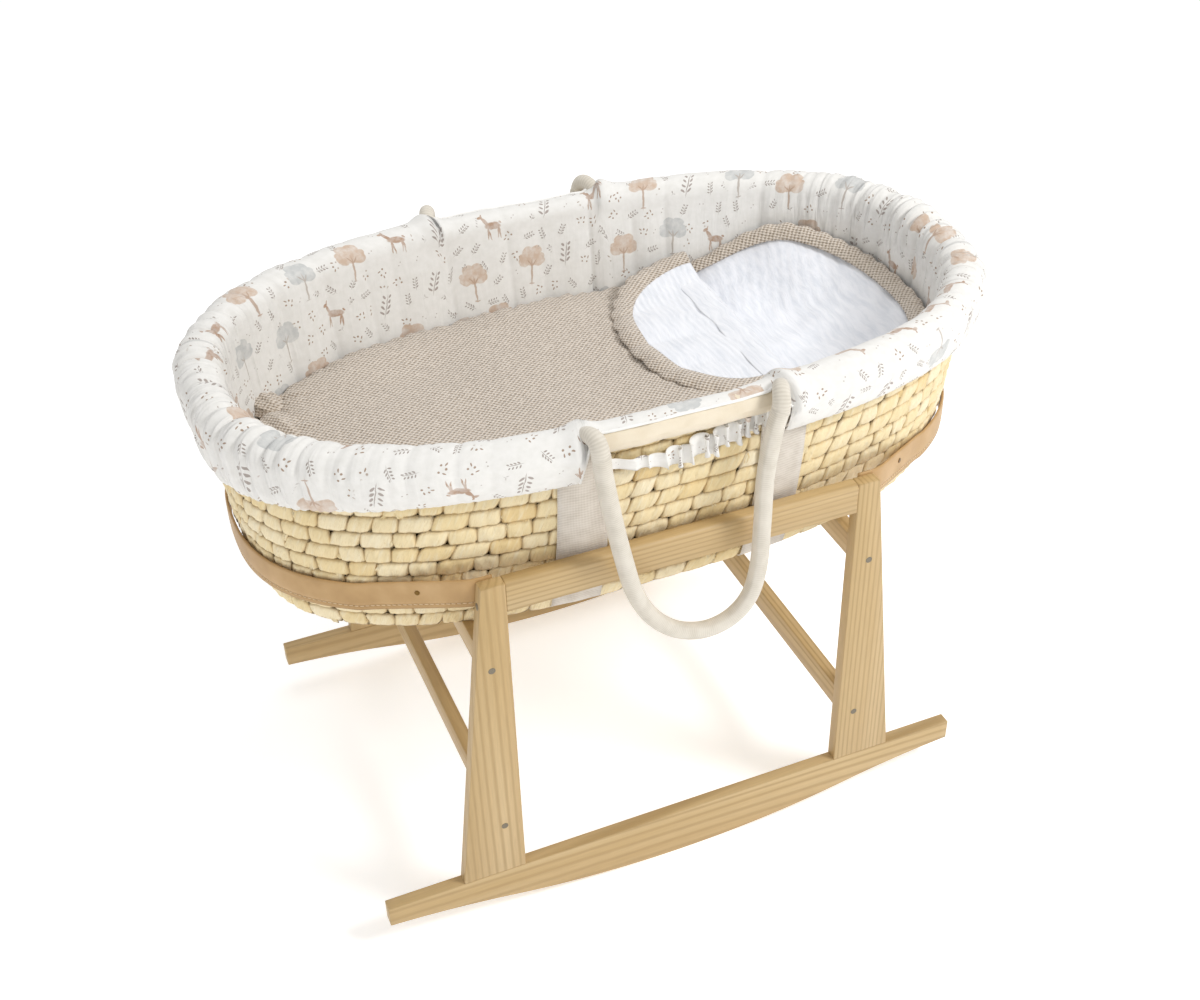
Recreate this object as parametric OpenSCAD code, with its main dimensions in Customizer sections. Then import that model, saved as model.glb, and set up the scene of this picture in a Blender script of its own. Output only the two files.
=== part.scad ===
// Moses basket of woven maize husk on a rocking pine stand.
// +X runs along the basket towards the head end, -Y is the front, +Z is up.
// The origin is on the floor, under the middle of the stand.

/* [Rockers] */
// Length of a rocker from tip to tip
rocker_length = 700; // [640:10:760]
// Height of a rocker at its middle
rocker_height = 63; // [58:1:70]
// Radius of the lower edge along its middle stretch
rocker_radius = 1155; // [1100:5:1300]
// Radius of the hollow curve that leads to each tip
tip_radius = 1190; // [1100:5:1300]
// Distance from the middle to where the two curves meet
curve_change = 210; // [190:5:230]

/* [Frame] */
// Thickness of every board
board = 15; // [12:1:18]
// Width of the stand over the outer faces of its two sides
stand_width = 470; // [466:2:480]
// Height of the stand's uprights above the floor
stand_height = 462; // [450:1:480]
// Distance from the middle to an upright's straight inner edge
upright_inner = 193; // [188:1:198]
// Width of an upright at its top
upright_top = 25; // [22:1:30]
// Width of an upright at its foot
upright_foot = 71; // [60:1:76]
// Height of a top rail
rail_height = 35; // [30:1:40]
// Radius of a top rail's rounded outer edge
rail_round = 5; // [2:1:7]
// Height of a crossbar
bar_height = 30; // [24:1:34]
// Height above the floor that the basket rests at
seat_height = 373; // [365:1:380]
// Height of the lower crossbars' lower face
lower_bar_z = 119; // [110:1:135]

/* [Fasteners] */
// Radius of a countersunk screw's shank
screw_r = 2; // [1.5:0.1:2.5]
// Radius of a countersunk screw's head
screw_head_r = 3.8; // [3:0.1:4.5]
// Length of a countersunk screw
screw_length = 45; // [35:1:50]
// Radius of the dowels between uprights and rockers
dowel_r = 4; // [3:0.5:5]
// Length of a dowel
dowel_length = 40; // [30:2:44]

/* [Straps] */
// Height of a leather strap
strap_height = 33; // [28:1:38]
// Thickness of a leather strap
strap_thick = 3.2; // [2:0.2:3.4]
// Gap between the woven wall and a strap
strap_gap = 1.5; // [1.5:0.1:3]

/* [Basket] */
// Half the length of the basket at its base
base_a = 387; // [380:1:390]
// Half the width of the basket at its base
base_b = 191; // [186:1:193]
// Half the length of the wall at its top
top_a = 406; // [400:1:410]
// Half the width of the wall at its top
top_b = 228; // [224:1:230]
// How far the wall swells out half way up
wall_swell = 9; // [4:1:10]
// Height of the woven wall
wall_height = 210; // [200:1:220]
// Thickness of the woven wall
wall_thick = 14; // [12:1:16]
// Thickness of the woven base
base_thick = 12; // [10:1:14]
// Squareness of the basket's oval, 2 is an ellipse
squareness = 2.5; // [2.3:0.1:2.8]
// Radius of the bound roll on the wall's top
binding_r = 14; // [12:0.5:15]

/* [Liner] */
// Thickness of the liner
liner_thick = 2.5; // [1.5:0.5:2.5]
// Outer radius of the padded roll over the rim
roll_r = 21; // [20.5:0.5:24]
// Height of the hem below the roll's middle
hem_drop = 38; // [30:1:45]
// How much lower the hem hangs at the two ends
hem_dip = 25; // [0:1:30]
// Half the width of the cut-out for a handle
cutout_half = 115; // [112:1:118]

/* [Handles] */
// Radius of a handle
handle_r = 10; // [8:0.5:11]
// Radius of the rope inside a handle
rope_r = 7; // [5:0.5:7.5]
// Distance of a hanging handle from the middle
handle_y = 256; // [255:1:262]
// Width of a carrying tape
tape_width = 52; // [40:1:56]
// Thickness of a carrying tape
tape_thick = 1.6; // [1:0.1:2]
// Distance of a carrying tape from the middle
tape_x = 106; // [100:1:108]

/* [Bedding] */
// Thickness of the mattress
mattress_thick = 52; // [40:1:54]
// Thickness of the quilt's lower layer
under_thick = 44; // [30:1:44]
// Thickness of the quilt's upper layer
over_thick = 25; // [20:1:26]
// Where the upper layer folds back
fold_x = 184; // [150:1:190]
// Depth of the folded flap
flap_depth = 132; // [100:1:135]
// Half the width of the folded flap
flap_half = 140; // [120:1:146]
// How far the flap's middle is from the basket's middle
flap_y = 34; // [0:1:36]
// Radius of a scallop on the knitted trims
scallop_r = 7; // [5:0.5:8]

/* [Hidden] */

// Stand, worked out
side_y = stand_width / 2;
inner_y = side_y - board;
mid_y = side_y - board / 2;
bar_x = upright_inner + board / 2 + 13;
upper_bar_z = seat_height - bar_height;
outer_slope = (upright_foot - upright_top) / (stand_height - rocker_height);
rail_screw_z = stand_height - 24;
dowel_inset = 18;
dowel_x = [upright_inner + dowel_inset, upright_inner + upright_foot - dowel_inset];
screw_point = 4;
fit_gap = 0.05;

// Basket, worked out
rim_z = seat_height + wall_height;
binding_z = rim_z + binding_r - 3;
roll_z = rim_z + 9.5;
roll_out = 2;
oval_step = 6;
wall_levels = 6;
base_gap = 0.3;
cloth_gap = 0.3;
lining_gap = 0.5;
hem_out = 9;
sheet_reach = 1.5;
tape_levels = 7;
tape_under = 60;
tape_drop = 5; // a tape ends under the rim binding
cloth_end = 2; // and turns just above the base's edge

// Elastic ruffles between the carrying tapes, worked out
ruffle_half = tape_x - tape_width / 2 - 1;
ruffle_height = 14;
ruffle_near = 1;
ruffle_far = 6;
ruffle_low = 24;
ruffle_rise = 8;

// Straps, worked out
strap_mid_z = 448;
strap_low_z = 430;
strap_first_x = upright_inner + 8;
strap_bend_x = upright_inner + 35;
strap_fall = 90;
strap_sweep = 45;
strap_screw_r = 1.4;
strap_screw_head_r = 4;
strap_screw_head = 1.2;
strap_screw_length = 14;
rivet_r = 1.2;
rivet_head_r = 2.6;
rivet_head = 0.8;

// Handles, worked out: the pivot's height and the centreline's points in X and Z
pivot_z = 598;
handle_points = [
    [-100, 598], [-98, 575], [-90, 525], [-79, 468], [-68, 424], [-50, 388], [-24, 362], [8, 350],
    [38, 356], [59, 378], [68, 415], [70, 468], [71, 525], [78, 575], [84, 598]
];
handle_sides = 10;
cover_gap = 0.2;

// Bedding, worked out
mattress_z = seat_height + base_thick + 3;
mattress_a = base_a - wall_thick - 7;
mattress_b = base_b - wall_thick - 6;
under_a = mattress_a;
under_b = mattress_b + 7;
over_a = under_a + 5;
over_b = under_b + 3;
under_z = mattress_z + mattress_thick + 0.5;
over_z = under_z + under_thick + 0.5;
flap_z = over_z + over_thick + 0.5;
flap_knit_thick = 4.5;
muslin_thick = 2;
trim_width = 16;
head_trim_thick = 4;
flap_trim_thick = 3;

function signed_pow(v, p) = sign(v) * pow(abs(v), p);
function oval_point(a, b, t) =
    [a * signed_pow(cos(t), 2 / squareness), b * signed_pow(sin(t), 2 / squareness)];
function level(z) = (z - seat_height) / wall_height;
function swell(z) = wall_swell * 4 * level(z) * (1 - level(z));
function wall_a(z) = base_a + (top_a - base_a) * level(z) + swell(z);
function wall_b(z) = base_b + (top_b - base_b) * level(z) + swell(z);
function wall_y(x, z) = wall_b(z) * pow(1 - pow(abs(x) / wall_a(z), squareness), 1 / squareness);
function oval_ring(a, b, z) =
    [for (t = [0 : oval_step : 359]) let (p = oval_point(a, b, t)) [p[0], p[1], z]];

// Solid between rings that close on themselves both ways, such as a tyre
module ring_solid(rings) {
    n = len(rings);
    m = len(rings[0]);
    polyhedron(
        points = [for (r = rings) each r],
        faces = [for (j = [0 : n - 1], i = [0 : m - 1])
            let (k = (j + 1) % n, h = (i + 1) % m)
            each [[j * m + i, k * m + h, j * m + h], [j * m + i, k * m + i, k * m + h]]]
    );
}

// Solid through a row of rings with both ends closed, such as a bar that bends
module tube_solid(rings) {
    n = len(rings);
    m = len(rings[0]);
    last = (n - 1) * m;
    polyhedron(
        points = [for (r = rings) each r],
        faces = concat(
            [for (j = [0 : n - 2], i = [0 : m - 1])
                let (h = (i + 1) % m)
                each [[j * m + i, j * m + h, (j + 1) * m + h], [j * m + i, (j + 1) * m + h, (j + 1) * m + i]]],
            [for (i = [0 : m / 2 - 2])
                each [[i, m - 1 - i, m - 2 - i], [i, m - 2 - i, i + 1]]],
            [for (i = [0 : m / 2 - 2])
                each [[last + i, last + m - 2 - i, last + m - 1 - i], [last + i, last + i + 1, last + m - 2 - i]]]
        )
    );
}

module oval_shape(a, b) {
    polygon([for (t = [0 : oval_step : 359]) oval_point(a, b, t)]);
}

// ---------- stand ----------

module rocker_outline() {
    reach = sqrt(rocker_radius * rocker_radius - curve_change * curve_change);
    meet_z = rocker_radius - reach;
    tip_centre = [curve_change * (1 + tip_radius / rocker_radius), meet_z - reach * tip_radius / rocker_radius];
    intersection() {
        translate([0, rocker_radius]) circle(r = rocker_radius, $fn = 720);
        translate([-curve_change, 0]) square([2 * curve_change, rocker_height]);
    }
    for (side = [0, 1]) mirror([side, 0])
        difference() {
            translate([curve_change, 0]) square([rocker_length / 2 - curve_change, rocker_height]);
            translate(tip_centre) circle(r = tip_radius, $fn = 720);
        }
}

module dowels(r, length) {
    for (side = [-1, 1], face = [-1, 1], x = dowel_x)
        translate([side * x, face * mid_y, rocker_height - length / 2])
            cylinder(r = r, h = length, $fn = 32);
}

module rocker(face) {
    color("burlywood") difference() {
        translate([0, face * mid_y + board / 2, 0]) rotate([90, 0, 0])
            linear_extrude(board) rocker_outline();
        dowels(dowel_r + fit_gap, dowel_length);
    }
}

// A countersunk screw whose head is flush with the plane z = 0 and whose shank points down
module screw(r, head_r, length) {
    rotate_extrude($fn = 32)
        polygon([[0, -length], [r, -length + screw_point], [r, r - head_r], [head_r, 0], [0, 0]]);
}

module bar_screw_set(gap) {
    for (side = [-1, 1], face = [-1, 1], z = [upper_bar_z, lower_bar_z])
        translate([side * bar_x, face * side_y, z + bar_height / 2])
            rotate([-90 * face, 0, 0]) screw(screw_r + gap, screw_head_r + gap, screw_length + gap);
}

module rail_screw_set(gap) {
    outer_x = upright_inner + upright_top + outer_slope * (stand_height - rail_screw_z);
    for (side = [-1, 1], face = [-1, 1])
        translate([side * outer_x, face * mid_y, rail_screw_z])
            rotate([0, 90 * side, 0]) screw(screw_r + gap, screw_head_r + gap, screw_length + gap);
}

module upright(side, face) {
    color("burlywood") difference() {
        translate([0, face * mid_y + board / 2, 0]) rotate([90, 0, 0]) linear_extrude(board)
            polygon([
                [side * upright_inner, rocker_height],
                [side * (upright_inner + upright_foot), rocker_height],
                [side * (upright_inner + upright_top), stand_height],
                [side * upright_inner, stand_height]
            ]);
        bar_screw_set(fit_gap);
        rail_screw_set(fit_gap);
        dowels(dowel_r + fit_gap, dowel_length);
    }
}

module top_rail(face) {
    outer = face * side_y;
    color("burlywood") difference() {
        translate([-upright_inner, min(outer, outer - face * board), stand_height - rail_height])
            cube([2 * upright_inner, board, rail_height]);
        translate([0, outer - face * rail_round, stand_height - rail_round]) rotate([0, 90, 0])
            difference() {
                translate([-rail_round - 1, min(0, face * (rail_round + 1)), -upright_inner - 1])
                    cube([rail_round + 1, rail_round + 1, 2 * upright_inner + 2]);
                cylinder(r = rail_round, h = 2 * upright_inner + 4, center = true, $fn = 48);
            }
        rail_screw_set(fit_gap);
    }
}

module crossbar(side, z) {
    color("burlywood") difference() {
        translate([side * bar_x - board / 2, -inner_y, z]) cube([board, 2 * inner_y, bar_height]);
        bar_screw_set(fit_gap);
    }
}

module crossbar_screws() {
    color("silver") bar_screw_set(0);
}

module rail_screws() {
    color("silver") rail_screw_set(0);
}

module rocker_dowels() {
    color("tan") dowels(dowel_r, dowel_length - 1);
}

// Centreline of a strap in plan, from its front end round the basket's end to its rear end
function strap_points() =
    let (
        a = wall_a(strap_mid_z) + strap_gap + strap_thick / 2,
        b = wall_b(strap_mid_z) + strap_gap + strap_thick / 2,
        end_y = inner_y - strap_thick / 2 - 0.1
    )
    concat(
        [[strap_first_x, -end_y], [strap_bend_x - 8, -end_y], [strap_bend_x, -end_y + 2]],
        [for (t = [-strap_sweep : 5 : strap_sweep]) oval_point(a, b, t)],
        [[strap_bend_x, end_y - 2], [strap_bend_x - 8, end_y], [strap_first_x, end_y]]
    );

function unit(v) = v / norm(v);
function strap_drop(x) = (strap_mid_z - strap_low_z) * min(1, max(0, (x - strap_bend_x) / strap_fall));
function strap_ring(points, i) =
    let (
        along = unit(points[min(i + 1, len(points) - 1)] - points[max(i - 1, 0)]),
        out = [along[1], -along[0]] * strap_thick / 2,
        p = points[i],
        z = strap_mid_z - strap_drop(p[0])
    )
    [for (corner = [[1, 1], [-1, 1], [-1, -1], [1, -1]])
        [p[0] + corner[0] * out[0], p[1] + corner[0] * out[1], z + corner[1] * strap_height / 2]];

module leather_strap(side) {
    points = strap_points();
    color("peru") mirror([side < 0 ? 1 : 0, 0, 0])
        tube_solid([for (i = [0 : len(points) - 1]) strap_ring(points, i)]);
}

module strap_screws() {
    color("silver") for (side = [-1, 1], face = [-1, 1])
        translate([side * (strap_first_x + 8), face * (inner_y - strap_thick - 1), strap_mid_z])
            rotate([-90 * face, 0, 0]) {
                cylinder(r = strap_screw_head_r, h = strap_screw_head, $fn = 32);
                cylinder(r = strap_screw_r, h = strap_screw_length, $fn = 24);
            }
}

module strap_rivets() {
    points = strap_points();
    foot = (points[2] + points[3]) / 2;
    along = unit(points[3] - points[2]);
    turn = atan2(along[1], along[0]);
    color("darkgoldenrod") for (side = [0, 1], face = [0, 1])
        mirror([side, 0, 0]) mirror([0, face, 0])
            translate([foot[0], foot[1], strap_mid_z - 4]) rotate([0, 0, turn]) rotate([90, 0, 0]) {
                cylinder(r = rivet_r, h = strap_thick + 2 * rivet_head, center = true, $fn = 24);
                for (end = [-1, 1])
                    translate([0, 0, end * (strap_thick + rivet_head) / 2])
                        cylinder(r = rivet_head_r, h = rivet_head, center = true, $fn = 32);
            }
}

// ---------- basket ----------

module basket_base() {
    color("wheat") translate([0, 0, seat_height]) linear_extrude(base_thick)
        oval_shape(base_a - wall_thick - base_gap, base_b - wall_thick - base_gap);
}

module basket_wall() {
    heights = [for (k = [0 : wall_levels]) seat_height + wall_height * k / wall_levels];
    outer = [for (z = heights) oval_ring(wall_a(z), wall_b(z), z)];
    inner = [for (k = [wall_levels : -1 : 0]) let (z = heights[k])
        oval_ring(wall_a(z) - wall_thick, wall_b(z) - wall_thick, z)];
    color("wheat") ring_solid(concat(outer, inner));
}

module rim_binding() {
    color("cornsilk") ring_solid([for (u = [0 : 30 : 330])
        oval_ring(top_a + binding_r * cos(u), top_b + binding_r * cos(u), binding_z + binding_r * sin(u))]);
}

// Outer face of the liner as [distance outside the wall, height]: up the inside, over the roll, down to the hem
function liner_line() = concat(
    [for (z = [mattress_z - 1, seat_height + 80, rim_z - 30]) [-wall_thick - lining_gap - liner_thick, z]],
    [for (u = [180 : -30 : 0]) [roll_out + roll_r * cos(u), roll_z + roll_r * sin(u)]],
    [[roll_out + roll_r - 1.5, roll_z - hem_drop / 3], [roll_out + roll_r - 7, roll_z - hem_drop * 2 / 3],
        [hem_out, roll_z - hem_drop]]
);
function inside_face(line) = [for (i = [len(line) - 1 : -1 : 0])
    let (
        along = unit(line[min(i + 1, len(line) - 1)] - line[max(i - 1, 0)]),
        p = line[i]
    )
    [p[0] + along[1] * liner_thick, p[1] - along[0] * liner_thick]];
function hem_weight(d, z) = d > roll_out ? max(0, (roll_z - z) / hem_drop) : 0;
function liner_ring(d, z) =
    let (base_z = min(z, rim_z), a = wall_a(base_z) + d, b = wall_b(base_z) + d)
    [for (t = [0 : oval_step : 359])
        let (p = oval_point(a, b, t))
        [p[0], p[1], z - hem_dip * pow(abs(p[0]) / a, 4) * hem_weight(d, z)]];

module liner() {
    line = liner_line();
    section = concat(line, inside_face(line));
    color("whitesmoke") {
        difference() {
            ring_solid([for (i = [len(section) - 1 : -1 : 0]) liner_ring(section[i][0], section[i][1])]);
            for (face = [0, 1]) mirror([0, face, 0])
                translate([-cutout_half, top_b - 4, rim_z - 60])
                    cube([2 * cutout_half, 60, 100]);
        }
        translate([0, 0, seat_height + base_thick + cloth_gap]) linear_extrude(liner_thick)
            oval_shape(base_a - wall_thick + sheet_reach, base_b - wall_thick + sheet_reach);
    }
}

module ruffle(face) {
    color("ghostwhite") mirror([0, face > 0 ? 1 : 0, 0])
        tube_solid([for (k = [-7 : 7])
            let (
                x = ruffle_half * k / 7,
                z = rim_z - ruffle_low + ruffle_rise * pow(k / 7, 2),
                low = z - ruffle_height / 2,
                high = z + ruffle_height / 2,
                near = -wall_y(x, z) - ruffle_near,
                far = -wall_y(x, z) - ruffle_far
            )
            [[x, near, low], [x, far, low], [x, far, high], [x, near, high]]]);
}

// One row of a carrying tape at height z on the front (face -1) or rear (face 1) wall
function tape_row(x, z, face) =
    let (xs = [x - tape_width / 2, x, x + tape_width / 2])
    concat(
        [for (v = xs) [v, face * (wall_y(v, z) + cloth_gap + tape_thick), z]],
        [for (i = [2 : -1 : 0]) [xs[i], face * (wall_y(xs[i], z) + cloth_gap), z]]
    );
function tape_turn(x, y_in, face) =
    let (xs = [x - tape_width / 2, x, x + tape_width / 2], low = seat_height - cloth_gap)
    concat(
        [for (v = xs) [v, face * (wall_y(v, seat_height) - y_in + cloth_gap + tape_thick), low - tape_thick]],
        [for (i = [2 : -1 : 0]) [xs[i], face * (wall_y(xs[i], seat_height) - y_in + cloth_gap), low]]
    );

module carry_tape(x) {
    top = rim_z - tape_drop;
    heights = [for (k = [0 : tape_levels]) top - (wall_height - tape_drop - cloth_end) * k / tape_levels];
    color("gainsboro") tube_solid(concat(
        [for (z = heights) tape_row(x, z, -1)],
        [for (y_in = [0, tape_under]) tape_turn(x, y_in, -1)],
        [for (y_in = [tape_under, 0]) tape_turn(x, y_in, 1)],
        [for (k = [tape_levels : -1 : 0]) tape_row(x, heights[k], 1)]
    ));
}

// ---------- handles ----------

// Points of a smooth curve through the handle's own points
function smooth_point(p, i, t) =
    let (a = p[max(i - 1, 0)], b = p[i], c = p[i + 1], d = p[min(i + 2, len(p) - 1)])
    0.5 * (2 * b + (c - a) * t + (2 * a - 5 * b + 4 * c - d) * t * t + (3 * b - a - 3 * c + d) * t * t * t);
function handle_line() = concat(
    [for (i = [0 : len(handle_points) - 2], t = [0, 1/3, 2/3]) smooth_point(handle_points, i, t)],
    [handle_points[len(handle_points) - 1]]
);
function handle_ring(line, i, r) =
    let (
        along = unit(line[min(i + 1, len(line) - 1)] - line[max(i - 1, 0)]),
        p = line[i]
    )
    [for (k = [0 : handle_sides - 1])
        let (u = 360 * k / handle_sides, w = r * cos(u))
        [p[0] + along[1] * w, -handle_y - r * sin(u), p[1] - along[0] * w]];

module handle_rope(face) {
    line = handle_line();
    color("beige") mirror([0, face > 0 ? 1 : 0, 0])
        tube_solid([for (i = [0 : len(line) - 1]) handle_ring(line, i, rope_r)]);
}

module handle_cover(face) {
    line = handle_line();
    last = len(line) - 1;
    outer = [for (i = [0 : last]) handle_ring(line, i, handle_r)];
    inner = [for (i = [last : -1 : 0]) handle_ring(line, i, rope_r + cover_gap)];
    color("linen") mirror([0, face > 0 ? 1 : 0, 0])
        ring_solid([for (k = [2 * last + 1 : -1 : 0]) concat(outer, inner)[k]]);
}

// ---------- bedding ----------

module mattress() {
    color("white") translate([0, 0, mattress_z]) linear_extrude(mattress_thick)
        oval_shape(mattress_a, mattress_b);
}

module quilt_under_layer() {
    color("tan") translate([0, 0, under_z]) linear_extrude(under_thick) oval_shape(under_a, under_b);
}

module quilt_over_layer() {
    color("tan") translate([0, 0, over_z]) linear_extrude(over_thick) intersection() {
        oval_shape(over_a, over_b);
        translate([-base_a, -base_b]) square([base_a + fold_x, 2 * base_b]);
    }
}

module head_area(edge) {
    intersection() {
        oval_shape(under_a - edge, under_b - edge);
        translate([fold_x + 1, -base_b]) square([base_a, 2 * base_b]);
    }
}

module under_muslin() {
    color("white") translate([0, 0, under_z + under_thick]) linear_extrude(muslin_thick) head_area(trim_width);
}

module head_trim() {
    color("tan") translate([0, 0, under_z + under_thick]) linear_extrude(head_trim_thick) difference() {
        head_area(0);
        head_area(trim_width);
    }
}

// Half oval of the flap, grown by edge on its round side
module flap_shape(edge) {
    intersection() {
        translate([fold_x, flap_y]) oval_shape(flap_depth + edge, flap_half + edge);
        translate([0, -base_b]) square([fold_x, 2 * base_b]);
    }
}

module flap_knit() {
    color("tan") translate([0, 0, flap_z]) linear_extrude(flap_knit_thick) flap_shape(0);
}

module flap_muslin() {
    color("white") translate([0, 0, flap_z + flap_knit_thick]) linear_extrude(muslin_thick)
        flap_shape(-trim_width);
}

module flap_trim() {
    color("tan") translate([0, 0, flap_z + flap_knit_thick]) linear_extrude(flap_trim_thick) difference() {
        union() {
            flap_shape(0);
            for (t = [96 : 8 : 264])
                let (p = oval_point(flap_depth, flap_half, t))
                translate([fold_x + p[0], flap_y + p[1]]) circle(r = scallop_r, $fn = 24);
        }
        flap_shape(-trim_width);
    }
}

rocker(-1);  // front_rocker
rocker(1);  // rear_rocker
upright(-1, -1);  // front_left_upright
upright(1, -1);  // front_right_upright
upright(-1, 1);  // rear_left_upright
upright(1, 1);  // rear_right_upright
top_rail(-1);  // front_top_rail
top_rail(1);  // rear_top_rail
crossbar(-1, upper_bar_z);  // left_upper_crossbar
crossbar(1, upper_bar_z);  // right_upper_crossbar
crossbar(-1, lower_bar_z);  // left_lower_crossbar
crossbar(1, lower_bar_z);  // right_lower_crossbar
crossbar_screws();
rail_screws();
rocker_dowels();
leather_strap(-1);  // left_leather_strap
leather_strap(1);  // right_leather_strap
strap_screws();
strap_rivets();
basket_base();
basket_wall();
rim_binding();
liner();
ruffle(-1);  // front_ruffle
ruffle(1);  // rear_ruffle
carry_tape(-tape_x);  // left_carry_tape
carry_tape(tape_x);  // right_carry_tape
handle_cover(-1);  // front_handle_cover
handle_rope(-1);  // front_handle_rope
handle_cover(1);  // rear_handle_cover
handle_rope(1);  // rear_handle_rope
mattress();
quilt_under_layer();
quilt_over_layer();
under_muslin();
head_trim();
flap_knit();
flap_muslin();
flap_trim();
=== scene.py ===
# %% [markdown]
# # A moses basket on a rocking pine stand
# The real thing is an oval basket of woven maize husk. It has a padded cotton liner, a mattress, a knitted quilt
# and two rope handles, and it stands between two leather straps on a stand of planed pine boards.
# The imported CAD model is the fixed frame: it says where every part is. Here each part gets its looks, in metres
# and in the same frame, with +X towards the head end, -Y towards the front and +Z up.

# %% Load the frame
import math
from functools import partial

import bpy
import numpy as np
from mathutils import Matrix, Vector


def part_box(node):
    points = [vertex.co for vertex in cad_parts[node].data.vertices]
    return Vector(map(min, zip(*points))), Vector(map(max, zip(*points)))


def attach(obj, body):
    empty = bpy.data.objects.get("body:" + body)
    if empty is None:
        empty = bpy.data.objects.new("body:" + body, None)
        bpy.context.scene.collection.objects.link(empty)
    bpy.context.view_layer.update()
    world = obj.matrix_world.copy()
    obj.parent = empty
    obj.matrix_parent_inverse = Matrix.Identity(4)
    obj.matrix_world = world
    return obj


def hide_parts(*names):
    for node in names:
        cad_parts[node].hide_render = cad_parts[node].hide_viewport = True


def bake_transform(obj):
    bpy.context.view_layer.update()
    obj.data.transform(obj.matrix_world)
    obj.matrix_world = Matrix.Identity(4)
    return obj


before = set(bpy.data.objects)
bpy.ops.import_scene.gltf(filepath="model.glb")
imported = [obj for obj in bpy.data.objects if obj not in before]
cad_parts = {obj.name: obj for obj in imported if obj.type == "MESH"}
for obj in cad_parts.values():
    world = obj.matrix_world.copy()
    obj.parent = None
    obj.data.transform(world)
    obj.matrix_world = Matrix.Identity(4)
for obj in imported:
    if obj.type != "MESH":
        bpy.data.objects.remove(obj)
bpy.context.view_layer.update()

scene = bpy.context.scene

# %% [markdown]
# ## Helpers that every piece shares
# Blender's operators act on all that is selected, so one helper clears the selection first. Colours are written
# as sRGB hex, as a painter's swatch is, and turned into the linear values that Cycles works in. Most soft pieces
# are a grid of points, bent into a sheet or a tube, with a UV map in metres so that a weave keeps its real size.

# %% Helpers for selecting and for colour
def pick_only(*objects):
    if bpy.context.object and bpy.context.object.mode != "OBJECT":
        bpy.ops.object.mode_set(mode="OBJECT")
    bpy.ops.object.select_all(action="DESELECT")
    for obj in objects:
        obj.select_set(True)
    if objects:
        bpy.context.view_layer.objects.active = objects[0]


def linear(hex_colour):
    values = [int(hex_colour[i : i + 2], 16) / 255 for i in (1, 3, 5)]
    return [v / 12.92 if v <= 0.04045 else ((v + 0.055) / 1.055) ** 2.4 for v in values] + [1.0]


# %% Helpers that fill in and add shader nodes
def plug(node, inputs):
    """Sets a node's inputs to values, or links them to other nodes' outputs."""
    for name, value in inputs.items():
        if isinstance(value, bpy.types.NodeSocket):
            node.id_data.links.new(value, node.inputs[name])
        else:
            node.inputs[name].default_value = value


def add_node(tree, kind, inputs=None, ramp=(), out=None, **settings):
    """Adds a node with its settings and links, and gives its named output or else its first live one."""
    node = tree.nodes.new("ShaderNode" + kind)
    for name, value in settings.items():
        setattr(node, name, value)
    plug(node, inputs or {})
    if ramp:
        while len(node.color_ramp.elements) < len(ramp):
            node.color_ramp.elements.new(0.5)
        for element, (place, colour) in zip(node.color_ramp.elements, ramp):
            element.position = place
            element.color = linear(colour)
    return node.outputs[out] if out else next(s for s in node.outputs if s.enabled)


def new_material(name, roughness, **constants):
    """A material, a function that adds nodes to it, and its shader node."""
    material = bpy.data.materials.new(name)
    material.use_nodes = True
    shader = material.node_tree.nodes["Principled BSDF"]
    plug(shader, {"Roughness": roughness})
    plug(shader, {socket.replace("_", " "): value for socket, value in constants.items()})
    return material, partial(add_node, material.node_tree), shader


def mottled(name, roughness, scale, colours, detail=2.0, bump=None, **constants):
    """A finish of one colour with small spots in it; bump is a strength and a depth in metres."""
    material, add, shader = new_material(name, roughness, **constants)
    spots = add("TexNoise", {"Scale": scale, "Detail": detail})
    plug(shader, {"Base Color": add("ValToRGB", {"Fac": spots}, ramp=colours)})
    if bump:
        plug(shader, {"Normal": add("Bump", {"Height": spots, "Strength": bump[0], "Distance": bump[1]})})
    return material


# %% Helpers that make meshes
def mesh_piece(name, points, faces, material, corner_uv=None, **point_values):
    """A smooth piece from points and faces, with a UV for each face corner and named values for each point."""
    mesh = bpy.data.meshes.new(name)
    mesh.from_pydata(points, [], faces)
    if corner_uv is not None:
        layer = mesh.uv_layers.new(name="cloth_uv")
        layer.data.foreach_set("uv", corner_uv.astype(np.float32).ravel())
    for label, values in point_values.items():
        attribute = mesh.attributes.new(label, "FLOAT", "POINT")
        attribute.data.foreach_set("value", np.asarray(values, np.float32).ravel())
    mesh.polygons.foreach_set("use_smooth", [True] * len(mesh.polygons))
    mesh.materials.append(material)
    obj = bpy.data.objects.new(name, mesh)
    scene.collection.objects.link(obj)
    return obj


def grid_piece(name, points, material, uv=None, closed=False, **point_values):
    """points[j][i] is a point; closed joins the last column to the first; uv[j][i] has one column more then."""
    points = np.asarray(points, float)
    rows, columns = points.shape[:2]
    j, i = np.meshgrid(np.arange(rows - 1), np.arange(columns if closed else columns - 1), indexing="ij")
    j, i = j.ravel(), i.ravel()
    h = (i + 1) % columns
    faces = np.stack([j * columns + i, j * columns + h, (j + 1) * columns + h, (j + 1) * columns + i], 1)
    if uv is not None:
        uv = np.asarray(uv, float)
        uv = np.stack([uv[j, i], uv[j, i + 1], uv[j + 1, i + 1], uv[j + 1, i]], 1)
    return mesh_piece(name, points.reshape(-1, 3).tolist(), faces.tolist(), material, uv, **point_values)


def apply_modifier(obj, modifier):
    pick_only(obj)
    bpy.ops.object.modifier_apply(modifier=modifier.name)


def thicken(obj, thickness, offset=-1):
    """Gives a sheet a thickness: below its surface at offset -1, above it at 1, on both sides at 0."""
    solid = obj.modifiers.new("thickness", "SOLIDIFY")
    solid.thickness = thickness
    solid.offset = offset
    apply_modifier(obj, solid)


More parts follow.
